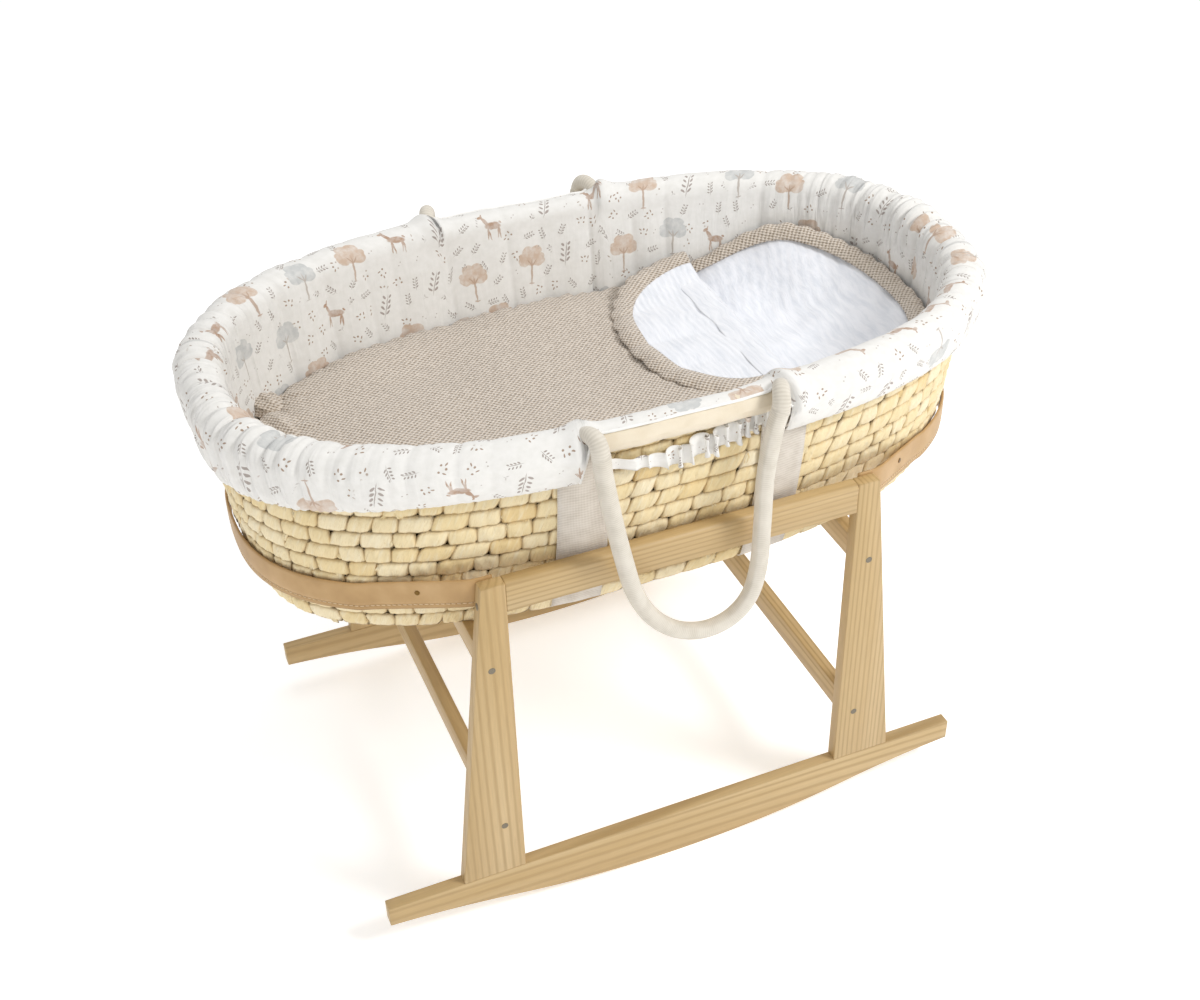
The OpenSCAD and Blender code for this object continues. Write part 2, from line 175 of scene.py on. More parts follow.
def close_ends(obj):
    """Closes the open ends of a tube with a face each."""
    pick_only(obj)
    bpy.ops.object.mode_set(mode="EDIT")
    bpy.ops.mesh.select_all(action="SELECT")
    bpy.ops.mesh.fill_holes(sides=0)
    bpy.ops.mesh.normals_make_consistent(inside=False)
    bpy.ops.object.mode_set(mode="OBJECT")


# %% Helpers for lines of points
def run_along(points):
    """Distance from the first point to each point of a line."""
    return np.concatenate([[0], np.cumsum(np.linalg.norm(np.diff(points, axis=0), axis=1))])


def resample(points, run, places):
    """Points at given distances along a line."""
    return np.stack([np.interp(places, run, points[:, k]) for k in range(points.shape[1])], 1)


def relax(line, times):
    """Smooths an open line and keeps its ends."""
    for _ in range(times):
        line[1:-1] = (line[:-2] + 2 * line[1:-1] + line[2:]) / 4


def relax_loop(loop, times):
    """Smooths a closed line."""
    for _ in range(times):
        loop = (np.roll(loop, 1, 0) + 2 * loop + np.roll(loop, -1, 0)) / 4
    return loop


def between(value, low, high):
    """0 below low, 1 above high and a soft step between them."""
    share = np.clip((value - low) / (high - low), 0, 1)
    return share * share * (3 - 2 * share)


def sides_of(side=0, face=0):
    """The names of a side and a face: left or right, front or rear."""
    return "left" if side < 0 else "right", "front" if face < 0 else "rear"


# %% Helper that says what a finished piece is
def finish_piece(obj, body, slot, *nodes):
    """Says which body a piece rides on and which nodes it stands for; slot, its finish, is not used."""
    if nodes:
        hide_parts(*nodes)
    if body:
        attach(obj, body)
    print(f"{obj.name}: {len(obj.data.polygons)} faces on {body}")
    return obj


# %% [markdown]
# ## Camera, light and floor
# A basket is best shown from above one shoulder, so that the bedding and the front both show. A longish lens keeps
# the boards nearly parallel. The key light is a soft source from the front right, a bright room fills the shadows
# from all round, and the floor is plain and pale.

# %% Camera
camera_place = Vector((-0.5448, -1.3685, 1.4374))
camera_azimuth, camera_elevation, camera_roll = (math.radians(v) for v in (-23.417, 37.17, -0.52))
back = Vector((
    math.sin(camera_azimuth) * math.cos(camera_elevation),
    -math.cos(camera_azimuth) * math.cos(camera_elevation),
    math.sin(camera_elevation),
))
level_right = Vector((math.cos(camera_azimuth), math.sin(camera_azimuth), 0))
right = level_right * math.cos(camera_roll) + back.cross(level_right) * math.sin(camera_roll)
turn = Matrix((right, back.cross(right), back)).transposed()

camera_data = bpy.data.cameras.new("camera")
camera_data.sensor_width = 36
camera_data.lens = 48.27
camera_data.shift_x = -0.0326
camera_data.shift_y = 0.0129
camera_data.clip_start, camera_data.clip_end = 0.05, 30
camera = bpy.data.objects.new("camera", camera_data)
camera.matrix_world = Matrix.Translation(camera_place) @ turn.to_4x4()
scene.collection.objects.link(camera)
scene.camera = camera
print("camera looks along", [round(v, 3) for v in -back])

# %% Lights and the room's brightness
def area_light(name, place, target, size, power):
    data = bpy.data.lights.new(name, "AREA")
    data.shape = "DISK"
    data.size = size
    data.energy = power
    light = bpy.data.objects.new(name, data)
    light.location = place
    light.rotation_euler = (Vector(target) - Vector(place)).to_track_quat("-Z", "Y").to_euler()
    scene.collection.objects.link(light)


area_light("key_light", (1.5, -1.6, 2.5), (0, 0, 0.45), 0.8, 44)
area_light("fill_light", (-2.2, -1.6, 1.8), (0, 0, 0.4), 2.0, 7)
area_light("top_light", (0.2, 1.2, 3.0), (0, 0, 0.4), 2.0, 15)
scene.world = bpy.data.worlds.new("room")
scene.world.use_nodes = True
plug(scene.world.node_tree.nodes["Background"], {"Color": linear("#FFFFFF"), "Strength": 0.58})
scene.view_settings.view_transform = "Standard"
scene.view_settings.look = "None"

# %% Floor
floor_material = mottled("floor_matt_white_paint", 0.9, 3.0, [(0.3, "#FBFBFB"), (0.7, "#FFFFFF")],
                         Emission_Strength=0.36, Emission_Color=linear("#FFFFFF"))
pick_only()
bpy.ops.mesh.primitive_plane_add(size=40, location=(0, 2, 0))
floor = bpy.context.object
floor.name = "floor"
floor.data.materials.append(floor_material)
print("floor at", floor.location.z)

# %% [markdown]
# ## Planed pine
# The stand is planed pine under a clear matt varnish. Pine shows long, nearly straight bands of darker late wood
# along each board, finer fibres between them and a slow change from straw to honey. A solid pattern is right for
# wood, because it has to run through a board's face, edge and end alike. So the bands come from the distance to a
# tree's middle well outside the board, bent by a noise that is stretched along the grain.

# %% Pine, for boards that run along X, Y or Z
def pine(name, grain_axis, light="#CDB284", mid="#BC9D69", dark="#987742"):
    material, add, shader = new_material(name, 0.5, Coat_Weight=0.12, Coat_Roughness=0.35)
    place = add("TexCoord", out="Object")
    along = [1.0, 1.0, 1.0]
    along[grain_axis] = 0.055
    stretched = add("Mapping", {"Vector": place, "Scale": along})
    wander = add("TexNoise", {"Vector": stretched, "Scale": 11.0, "Detail": 2.0}, out="Color")
    bend = add("VectorMath", {0: wander, 1: (0.026, 0.026, 0.026)}, operation="MULTIPLY")
    bent = add("VectorMath", {0: stretched, 1: bend}, operation="ADD")
    # the tree's middle lies well off the board, and a band of late wood comes every 5.5 mm across it
    centre, phase_per_metre = (0.31, 0.17, 0.09), 1150.0
    across = [1.0, 1.0, 1.0]
    across[grain_axis] = 0.25
    centred = add("Mapping", {"Vector": bent, "Location": centre, "Scale": across})
    reach = add("VectorMath", {0: centred}, operation="LENGTH", out="Value")
    rings = add("Math", {0: reach, 1: phase_per_metre}, operation="MULTIPLY")
    wave = add("Math", {0: rings}, operation="SINE")
    band = add("MapRange", {"Value": wave, "From Min": 0.0, "From Max": 1.0, "To Max": 0.75})
    fibres = add("TexNoise", {"Vector": stretched, "Scale": 900.0, "Detail": 3.0})
    clouds = add("TexNoise", {"Vector": stretched, "Scale": 26.0, "Detail": 3.0})
    ground = add("ValToRGB", {"Fac": clouds}, ramp=[(0.3, mid), (0.66, light)])
    fade = add("Math", {0: band, 1: clouds}, operation="MULTIPLY")
    banded = add("Mix", {0: fade, 6: ground, 7: linear(dark)}, data_type="RGBA")
    fine = add("MapRange", {"Value": fibres, "To Min": 0.86, "To Max": 1.1})
    colour = add("VectorMath", {0: banded, "Scale": fine}, operation="SCALE")
    height = add("Math", {0: fibres, 1: band}, operation="ADD")
    bump = add("Bump", {"Height": height, "Strength": 0.12, "Distance": 0.0006})
    plug(shader, {"Base Color": colour, "Normal": bump})
    gloss = add("MapRange", {"Value": clouds, "To Min": 0.42, "To Max": 0.6})
    plug(shader, {"Roughness": gloss})
    return material


pine_x = pine("planed_pine_grain_along_x", 0)
pine_y = pine("planed_pine_grain_along_y", 1, light="#C9AE80", mid="#B79764")
pine_z = pine("planed_pine_grain_along_z", 2)
print("made", pine_x.name, pine_y.name, pine_z.name)

# %% [markdown]
# ## Boards of the stand
# Every board is sawn from flat stock, planed, and its edges are eased with a pass of sandpaper. A cube at the
# board's size, shaped at one end where it tapers, and a small bevel on all its edges give just that. The rocker is
# a strip of faces whose lower row of points follows two arcs. It is then extruded to the board's thickness.

# %% Sizes of the stand
board = 0.015
eased_edge = 0.0011
upright_low, upright_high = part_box("front_left_upright")
rocker_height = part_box("front_rocker")[1].z
curve_change, rocker_radius, tip_radius = 0.210, 1.155, 1.190


def box_mesh(name, low, high, material):
    pick_only()
    middle = (Vector(low) + Vector(high)) / 2
    bpy.ops.mesh.primitive_cube_add(size=1, location=middle)
    obj = bpy.context.object
    obj.name = obj.data.name = name
    obj.scale = Vector(high) - Vector(low)
    bpy.ops.object.transform_apply(location=True, rotation=True, scale=True)
    obj.data.materials.append(material)
    return obj


def ease_edges(obj, width=eased_edge, angle=30):
    """Rounds each edge sharper than angle a little, as sandpaper does, and keeps the faces flat."""
    bevel = obj.modifiers.new("eased", "BEVEL")
    bevel.width = width
    bevel.segments = 3
    bevel.limit_method = "ANGLE"
    bevel.angle_limit = math.radians(angle)
    bevel.harden_normals = True
    apply_modifier(obj, bevel)
    bpy.ops.object.shade_smooth_by_angle(angle=math.radians(35))


def pick_points(obj, test):
    """Selects the points that pass a test, in edit mode."""
    pick_only(obj)
    bpy.ops.object.mode_set(mode="EDIT")
    bpy.ops.mesh.select_mode(type="VERT")
    bpy.ops.mesh.select_all(action="DESELECT")
    bpy.ops.object.mode_set(mode="OBJECT")
    for point in obj.data.vertices:
        point.select = bool(test(point.co))
    bpy.ops.object.mode_set(mode="EDIT")


# %% Uprights, each a box whose outer upper edge is moved in
upright_top = 0.025
at_edge = 1e-4
upright_foot = upright_high.x - upright_low.x


def upright(side, face):
    left_right, front_rear = sides_of(side, face)
    low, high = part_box(f"{front_rear}_{left_right}_upright")
    obj = box_mesh(f"pine_upright_{front_rear}_{left_right}", low, high, pine_z)
    outer = low.x if side < 0 else high.x
    pick_points(obj, lambda p: p.z > high.z - at_edge and abs(p.x - outer) < at_edge)
    bpy.ops.transform.translate(value=(-side * (upright_foot - upright_top), 0, 0))
    bpy.ops.object.mode_set(mode="OBJECT")
    ease_edges(obj)
    finish_piece(obj, "stand", "pine", f"{front_rear}_{left_right}_upright")


for side in (-1, 1):
    for face in (-1, 1):
        upright(side, face)

# %% Top rails, with their outer upper edge rounded
rail_round = 0.005


def top_rail(name, face):
    low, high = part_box(f"{name}_top_rail")
    obj = box_mesh(f"pine_rail_{name}", low, high, pine_x)
    outer = low.y if face < 0 else high.y
    pick_points(obj, lambda p: abs(p.y - outer) < at_edge and p.z > high.z - at_edge)
    bpy.ops.mesh.bevel(offset=rail_round, offset_type="OFFSET", segments=6, affect="EDGES")
    bpy.ops.object.mode_set(mode="OBJECT")
    ease_edges(obj, 0.0009, 60)
    finish_piece(obj, "stand", "pine", f"{name}_top_rail")


for name, face in (("front", -1), ("rear", 1)):
    top_rail(name, face)

# %% Crossbars
for name in ("left_upper", "right_upper", "left_lower", "right_lower"):
    bar = box_mesh(f"pine_crossbar_{name}", *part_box(f"{name}_crossbar"), pine_y)
    ease_edges(bar)
    finish_piece(bar, "stand", "pine", f"{name}_crossbar")

# %% Rockers
rocker_reach = math.sqrt(rocker_radius**2 - curve_change**2)
tip_centre_x = curve_change * (1 + tip_radius / rocker_radius)
tip_centre_z = rocker_radius - rocker_reach * (1 + tip_radius / rocker_radius)


def rocker_edge(x):
    """Height of the rocker's lower edge, an arc in the middle and a hollow curve towards each tip."""
    if abs(x) <= curve_change:
        return rocker_radius - math.sqrt(rocker_radius**2 - x * x)
    return tip_centre_z + math.sqrt(tip_radius**2 - (abs(x) - tip_centre_x) ** 2)


def rocker(name):
    low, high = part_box(f"{name}_rocker")
    pick_only()
    bpy.ops.mesh.primitive_grid_add(x_subdivisions=70, y_subdivisions=1, size=1,
                                    location=(0, low.y, 0), rotation=(math.pi / 2, 0, 0))
    obj = bpy.context.object
    obj.name = obj.data.name = f"pine_rocker_{name}"
    bpy.ops.object.transform_apply(location=True, rotation=True, scale=True)
    for point in obj.data.vertices:
        upper = point.co.z > 0
        point.co.x *= high.x - low.x
        point.co.z = rocker_height if upper else rocker_edge(point.co.x)
    pick_points(obj, lambda p: True)
    bpy.ops.mesh.extrude_region_move(TRANSFORM_OT_translate={"value": (0, board, 0)})
    bpy.ops.mesh.select_all(action="SELECT")
    bpy.ops.mesh.normals_make_consistent(inside=False)
    bpy.ops.object.mode_set(mode="OBJECT")
    obj.data.materials.append(pine_x)
    ease_edges(obj)
    finish_piece(obj, "stand", "pine", f"{name}_rocker")


for name in ("front", "rear"):
    rocker(name)

# %% [markdown]
# ## Zinc-plated screws and beech dowels
# The boards are joined with countersunk cross-head screws, and dowels hidden in the joints keep them from turning.
# A screw's head is a small disc with a cross-shaped recess. A grid of five by five faces gives the cross: the
# middle row and column are pushed down, and the outer points are moved onto a circle. The head is modelled once
# and copied to every screw. The hidden dowels keep the CAD's own shape.

# %% Bright zinc and plain beech
zinc = mottled("zinc_plated_steel_screws", 0.36, 900.0, [(0.35, "#6A655A"), (0.7, "#948B7B")], detail=3.0,
               bump=(0.2, 0.0002), Metallic=1.0)
beech, add, shader = new_material("turned_beech_dowel", 0.6)
grain = add("Mapping", {"Vector": add("TexCoord", out="Object"), "Scale": (900, 900, 60)})
fleck = add("TexNoise", {"Vector": grain, "Scale": 1.0, "Detail": 3.0})
plug(shader, {"Base Color": add("ValToRGB", {"Fac": fleck}, ramp=[(0.35, "#B88A5C"), (0.7, "#D3AC7E")])})
print("made", zinc.name, beech.name)

# %% A screw's head with its cross recess, pointing up
screw_head_r, screw_head_high, recess_depth = 0.0038, 0.0022, 0.0016
# half the cross's width and the recess's reach, in shares of the head's radius
cross_half, cross_reach = 0.16, 0.62


def screw_head():
    pick_only()
    bpy.ops.mesh.primitive_grid_add(x_subdivisions=5, y_subdivisions=5, size=2, location=(0, 0, 0))
    obj = bpy.context.object
    for point in obj.data.vertices:
        x, y = point.co.x, point.co.y
        if max(abs(x), abs(y)) > 0.99:
            angle = math.atan2(y, x)
            point.co.x, point.co.y = math.cos(angle) * screw_head_r, math.sin(angle) * screw_head_r
        else:
            point.co.x = math.copysign(cross_half if abs(x) < 0.3 else cross_reach, x) * screw_head_r
            point.co.y = math.copysign(cross_half if abs(y) < 0.3 else cross_reach, y) * screw_head_r
    pick_only(obj)
    for polygon in obj.data.polygons:
        near, far = sorted((abs(polygon.center.x), abs(polygon.center.y)))
        polygon.select = near < 0.1 * screw_head_r and far < 0.567 * screw_head_r
    bpy.ops.object.mode_set(mode="EDIT")
    bpy.ops.mesh.select_mode(type="FACE")
    bpy.ops.mesh.extrude_region_move(TRANSFORM_OT_translate={"value": (0, 0, -recess_depth)})
    bpy.ops.object.mode_set(mode="OBJECT")
    pick_points(obj, lambda p: p.z > -1e-6 and p.xy.length > 0.97 * screw_head_r)
    bpy.ops.mesh.extrude_region_move(TRANSFORM_OT_translate={"value": (0, 0, -screw_head_high)})
    bpy.ops.object.mode_set(mode="OBJECT")
    return obj


head_pattern = screw_head()
print("screw head:", len(head_pattern.data.polygons), "faces")

# %% Copies of the head at every screw, joined by kind
def headed_screws(name, places, *nodes):
    """places are (point, direction) pairs; each head gets its own copy and they are joined to one piece."""
    copies = []
    for point, direction in places:
        copy = head_pattern.copy()
        copy.data = head_pattern.data.copy()
        scene.collection.objects.link(copy)
        turn = Vector(direction).to_track_quat("Z", "Y").to_matrix().to_4x4()
        copy.matrix_world = Matrix.Translation(point) @ turn
        copies.append(copy)
    pick_only(*copies)
    bpy.ops.object.join()
    obj = bpy.context.object
    bpy.ops.object.transform_apply(location=True, rotation=True, scale=True)
    obj.name = obj.data.name = name
    obj.data.materials.append(zinc)
    return finish_piece(obj, "stand", "steel_screw", *nodes)


front_face = upright_low.y
corners = [(side, face) for side in (-1, 1) for face in (-1, 1)]
proud = 0.0002
bar_x = sum(v.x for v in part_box("right_upper_crossbar")) / 2
bar_heights = [sum(v.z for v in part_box(f"right_{level}_crossbar")) / 2 for level in ("upper", "lower")]
headed_screws("crossbar_screw_heads", [((side * bar_x, face * (-front_face + proud), z), (0, face, 0))
                                       for side, face in corners for z in bar_heights], "crossbar_screws")
rail_screw_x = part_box("rail_screws")[1].x + proud
rail_screw_z = sum(v.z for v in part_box("rail_screws")) / 2
headed_screws("rail_screw_heads", [((side * rail_screw_x, face * (-front_face - board / 2), rail_screw_z),
                                    (side, 0, 0.11)) for side, face in corners], "rail_screws")
strap_screw_x, strap_screw_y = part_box("strap_screws")[1].x - 0.004, 0.2157
strap_screw_z = sum(v.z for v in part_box("strap_screws")) / 2
headed_screws("strap_screw_heads", [((side * strap_screw_x, face * strap_screw_y, strap_screw_z), (0, -face, 0))
                                    for side, face in corners], "strap_screws")
bpy.data.objects.remove(head_pattern)


def recolour(node, material):
    """A small node that keeps the CAD's shape gets its finish."""
    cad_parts[node].data.materials.clear()
    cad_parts[node].data.materials.append(material)


recolour("rocker_dowels", beech)

# %% [markdown]
# ## Leather straps
# A strap is a band of tan leather, folded over at its top, stitched near its lower edge and screwed to the inner
# faces of two uprights. It hugs the basket's round end. A closed section is swept along that path: round at the
# fold, padded in the middle and thin in the lip below the stitches. Smooth leather has a fine pebbled grain, a
# slow change of tan, and darker, slightly burnished edges.

# %% The basket's own curves, as in the CAD model
seat_z, rim_z = (v.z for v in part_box("basket_wall"))
base_a, base_b, top_a, top_b = 0.387, 0.191, 0.406, 0.228
wall_swell = 0.009
squareness = 2.5


def level(z):
    return np.clip((np.asarray(z, float) - seat_z) / (rim_z - seat_z), 0, 1)


def wall_a(z):
    """Half the wall's length outside, at height z."""
    return base_a + (top_a - base_a) * level(z) + 4 * wall_swell * level(z) * (1 - level(z))


def wall_b(z):
    """Half the wall's width outside, at height z."""
    return base_b + (top_b - base_b) * level(z) + 4 * wall_swell * level(z) * (1 - level(z))


def oval(a, b, t):
    c, s = np.cos(t), np.sin(t)
    power = 2 / squareness
    return a * np.sign(c) * np.abs(c) ** power, b * np.sign(s) * np.abs(s) ** power


def wall_y(x, z):
    share = np.clip(np.abs(x) / wall_a(z), 0, 1)
    return wall_b(z) * (1 - share**squareness) ** (1 / squareness)


def even_turns(a, b, count):
    """Angles that space points evenly along an oval, and the oval's length."""
    fine = np.linspace(0, 2 * math.pi, 20001)
    x, y = oval(a, b, fine)
    run = np.concatenate([[0], np.cumsum(np.hypot(np.diff(x), np.diff(y)))])
    return np.interp(np.arange(count) * run[-1] / count, run, fine), run[-1]


print("wall from", round(seat_z, 3), "to", round(rim_z, 3),
      "and round it", round(even_turns(top_a, top_b, 8)[1], 3))

# %% Smooth tan leather
leather, add, shader = new_material("smooth_tan_cowhide", 0.46, Specular_IOR_Level=0.45)
place = add("TexCoord", out="Object")
pebbles = add("TexVoronoi", {"Vector": place, "Scale": 900.0}, feature="DISTANCE_TO_EDGE")
cloud = add("TexNoise", {"Vector": place, "Scale": 28.0, "Detail": 4.0})
ground = add("ValToRGB", {"Fac": cloud}, ramp=[(0.3, "#B08B59"), (0.5, "#BC9764"), (0.72, "#C8A473")])
edge_wear = add("Attribute", attribute_name="tint", out="Fac")
worn = add("Mix", {0: edge_wear, 6: ground, 7: linear("#987246")}, data_type="RGBA")
plug(shader, {"Base Color": worn,
              "Normal": add("Bump", {"Height": pebbles, "Strength": 0.25, "Distance": 0.0003})})
thread = mottled("waxed_linen_thread", 0.6, 1200.0, [(0.3, "#D9BD93"), (0.7, "#F0DDB9")])
brass = mottled("antique_brass_tacks", 0.38, 700.0, [(0.3, "#5A4425"), (0.7, "#8C6D3C")], Metallic=1.0)
print("made", leather.name, thread.name, brass.name)

# %% The strap's path and section
strap_thick, strap_gap = 0.0032, 0.0015
strap_z, strap_fall = 0.448, 0.018
strap_first_x, strap_bend_x = 0.201, 0.228
strap_end_y = 0.2183


def strap_path():
    a = wall_a(strap_z) + strap_gap + strap_thick / 2
    b = wall_b(strap_z) + strap_gap + strap_thick / 2
    sweep = np.radians(np.linspace(-45, 45, 61))
    x, y = oval(a, b, sweep)
    start = [(x, -strap_end_y) for x in (strap_first_x, 0.212, 0.221)] + [(strap_bend_x, -0.2163)]
    end = [(u, -v) for u, v in reversed(start)]
    points = np.array(start + list(zip(x, y)) + end)
    run = run_along(points)
    even = np.linspace(0, run[-1], 180)
    smooth = resample(points, run, even)
    relax(smooth, 4)
    return smooth, even


def strap_frames(side):
    path, run = strap_path()
    along = np.gradient(path, axis=0)
    along /= np.linalg.norm(along, axis=1)[:, None]
    out = np.stack([along[:, 1], -along[:, 0]], 1)
    z = strap_z - strap_fall * np.clip((path[:, 0] - strap_bend_x) / 0.09, 0, 1)
    mirror = np.array([side, 1.0])
    return path * mirror, out * mirror, z, run


# (out, height) round the section: a lip at the foot, a seam groove, a padded face and the round fold
strap_section = np.array([
    (0.2, -16.5), (1.1, -16.3), (1.25, -14), (1.2, -12.2), (0.55, -11.2), (1.35, -10.0),
    (1.6, -6), (1.75, 0), (1.7, 7), (1.6, 13), (1.3, 15.6), (0.5, 16.6),
    (-0.5, 16.6), (-1.3, 15.6), (-1.6, 12), (-1.6, 0), (-1.6, -12), (-1.2, -16.2),
]) / 1000
strap_wear = np.array([1, 0.8, 0.2, 0.1, 0.5, 0.05, 0, 0, 0, 0, 0.1, 0.2, 0.2, 0.2, 0.1, 0.1, 0.3, 0.9])


def leather_strap(name, side):
    path, out, z, _ = strap_frames(side)
    points = np.empty((len(path), len(strap_section), 3))
    points[..., :2] = path[:, None] + out[:, None] * strap_section[None, :, :1]
    points[..., 2] = z[:, None] + strap_section[None, :, 1]
    if side < 0:
        points = points[:, ::-1]
    wear = np.repeat(strap_wear[None, :: (1 if side > 0 else -1)], len(path), 0)
    obj = grid_piece(f"leather_strap_{name}", points, leather, closed=True, tint=wear * 0.6)
    close_ends(obj)
    finish_piece(obj, "stand", "leather", f"{name}_leather_strap")


leather_strap("right", 1)
leather_strap("left", -1)

# %% A row of stitches, one every 5.5 mm, and the brass of the tacks near each upright
stitch_pitch, stitch_length, stitch_r = 0.0055, 0.0042, 0.00048
stitch_margin, stitch_drop, stitch_out = 0.012, 0.0112, 0.00115


def bead(along, out, up, centre, length, radius):
    """A short thread: a rod of five sides that narrows at both ends."""
    stations = ((-0.5, 0.25), (-0.3, 1), (0.3, 1), (0.5, 0.25))
    points = []
    for place, width in stations:
        for k in range(5):
            turn = 2 * math.pi * k / 5
            points.append(centre + along * place * length
                          + (out * math.cos(turn) + up * math.sin(turn)) * radius * width)
    faces = [(j * 5 + k, j * 5 + (k + 1) % 5, (j + 1) * 5 + (k + 1) % 5, (j + 1) * 5 + k)
             for j in range(3) for k in range(5)]
    faces += [(4, 3, 2, 1, 0), (15, 16, 17, 18, 19)]
    return points, faces


def stitch_row(name, side):
    path, out, z, run = strap_frames(side)
    points, faces = [], []
    for place in np.arange(stitch_margin, run[-1] - stitch_margin, stitch_pitch):
        x, y, nx, ny, height = (np.interp(place, run, values) for values in (*path.T, *out.T, z))
        normal = np.array([nx, ny, 0.0])
        along = np.array([-ny, nx, 0.05])
        centre = np.array([x, y, height - stitch_drop]) + normal * stitch_out
        bead_points, bead_faces = bead(along, normal, np.array([0, 0, 1.0]), centre, stitch_length, stitch_r)
        faces += [tuple(len(points) + i for i in face) for face in bead_faces]
        points += [tuple(p) for p in bead_points]
    obj = mesh_piece(f"strap_stitches_{name}", points, faces, thread)
    pick_points(obj, lambda p: True)
    bpy.ops.mesh.normals_make_consistent(inside=False)
    bpy.ops.object.mode_set(mode="OBJECT")
    finish_piece(obj, "stand", "leather")


for name, side in (("right", 1), ("left", -1)):
    stitch_row(name, side)
recolour("strap_rivets", brass)

# %% [markdown]
# ## Woven maize husk
# The basket is worked in rows. A core of husk runs round the basket, and twisted strands of husk wrap it. So each
# row shows a line of plump pillows, slanted where one strand dives under the next, and offset from the row below
# like bricks. One pillow is a dome of forty faces. It is copied along every row with its own length, slant and
# folds, a tint of its own, a painted shade that darkens its edges and a UV map in millimetres whose V runs along
# the fibres. Behind the pillows there is a wall coloured dark as painted shade, which is what the eye finds in the
# cracks.

# %% Dry maize husk
husk, add, shader = new_material("dry_maize_husk_twisted_and_woven", 0.62, Specular_IOR_Level=0.35)
tint, pit = (add("Attribute", attribute_name=name, out="Fac") for name in ("tint", "pit"))
# the UV is in millimetres; fibres are 0.3 to 1 mm wide and run over the row at a slant, a leaf's folds 3 to 6 mm
slanted = add("Mapping", {"Vector": add("UVMap", uv_map="cloth_uv"), "Rotation": (0, 0, 0.32)})
fibre_space = add("Mapping", {"Vector": slanted, "Scale": (1.6, 0.09, 1.0)})
fold_space = add("Mapping", {"Vector": slanted, "Scale": (0.24, 0.03, 1.0)})
fibre = add("TexNoise", {"Vector": fibre_space, "Scale": 1.0, "Detail": 3.0})
fold = add("TexNoise", {"Vector": fold_space, "Scale": 1.0, "Detail": 2.0})
ground = add("ValToRGB", {"Fac": tint},
             ramp=[(0.0, "#E2C286"), (0.3, "#ECD6A4"), (0.62, "#F2E1B9"), (1.0, "#F8EDD2")])
pale = add("MapRange", {"Value": fold, "From Min": 0.5, "From Max": 0.75, "To Max": 0.55})
lit = add("Mix", {0: pale, 6: ground, 7: linear("#F5EBD0")}, data_type="RGBA")
fibre_line = add("MapRange", {"Value": fibre, "From Min": 0.42, "From Max": 0.3, "To Max": 0.42})
lined = add("Mix", {0: fibre_line, 6: lit, 7: linear("#CFB078")}, data_type="RGBA")
relief = add("Math", {0: fold, 1: 3.0, 2: fibre}, operation="MULTIPLY_ADD")
# painted shade: the colour turns brown where the pillows' edges dip into the cracks
plug(shader, {"Base Color": add("Mix", {0: pit, 6: lined, 7: linear("#A3783C")}, data_type="RGBA"),
              "Normal": add("Bump", {"Height": relief, "Strength": 0.55, "Distance": 0.0014})})
# painted shade: a dark husk brown for the wall that shows in the cracks
shade = mottled("maize_husk_painted_shade_in_the_weave", 0.9, 260.0, [(0.3, "#7E6034"), (0.7, "#A98A52")])
print("made", husk.name, shade.name)

# %% One pillow of husk and its copies
row_pitch = 0.020
crown, valley = 0.0006, -0.0026
cells_long, cells_high = 8, 5
p_grid, q_grid = np.meshgrid(np.linspace(-1, 1, cells_long + 1), np.linspace(-1, 1, cells_high + 1))
pillow_ids = np.arange(p_grid.size).reshape(p_grid.shape)
pillow_faces = [tuple(int(pillow_ids[j + dj, i + di]) for dj, di in ((0, 0), (0, 1), (1, 1), (1, 0)))
                for j in range(cells_high) for i in range(cells_long)]
pillow_rim = [int(n) for n in (*pillow_ids[0], *pillow_ids[1:, -1],
                               *pillow_ids[-1, -2::-1], *pillow_ids[-2:0:-1, 0])]
pillow_faces.append(tuple(reversed(pillow_rim)))


def pillow(rng, centre, half, height, slant, top=crown, place=None):
    """Points of one pillow: place(along, up, out) puts it on the wall. Gives points, UVs, tints and a painted shade
    for the cracks at its edges.
    """
    p, q = p_grid, q_grid
    plump = (1 - np.abs(p) ** 4.2) ** 0.5 * (1 - np.abs(q) ** 3.2) ** 0.5
    ridge = 0.0009 * np.sin(2.4 * math.pi * (p + 0.25 * q) + rng.uniform(0, 6)) * plump
    ridge += 0.0005 * np.sin(5.1 * p + 3 * q + rng.uniform(0, 6)) * plump
    sag = rng.uniform(-0.0006, 0.0003)
    out = valley + (top + sag - valley) * plump + ridge - 0.0005
    squeeze = 1 - 0.10 * np.abs(p) ** 3
    along = centre[0] + p * half * (1 - 0.10 * np.abs(q) ** 2) + slant * q
    up = centre[1] + q * height / 2 * squeeze
    points = place(along, up, out)
    uv = np.stack([(along - centre[0]) * 1000 + rng.uniform(0, 900),
                   (up - centre[1]) * 1000 + rng.uniform(0, 900)], -1)
    tone = float(np.clip(rng.normal(0.5, 0.14), 0, 1))
    # painted shade: darker towards the pillow's edges, where the cracks between pillows are
    pit_value = np.clip(1 - plump * 3.0, 0, 1) * 0.36
    return points.reshape(-1, 3), uv.reshape(-1, 2), np.full(p.size, tone), pit_value.ravel()


def pillow_mesh(name, pillows, *nodes):
    """Joins pillows to one mesh, each closed at its back by one face."""
    points, uv, tints, pits = (np.concatenate(values) for values in zip(*pillows))
    faces = [tuple(n * p_grid.size + i for i in face) for n in range(len(pillows)) for face in pillow_faces]
    corners_uv = uv[np.array([v for face in faces for v in face])]
    obj = mesh_piece(name, points.tolist(), faces, husk, corners_uv, tint=tints, pit=pits)
    finish_piece(obj, "basket", "maize_husk", *nodes)


# %% Rows of pillows up the wall
def round_run(a, b, count):
    """Angles round an oval, closed, the distance at each of them, and the oval's length."""
    turns, length = even_turns(a, b, count)
    turns = np.append(turns, 2 * math.pi)
    return turns, np.linspace(0, length, len(turns)), length


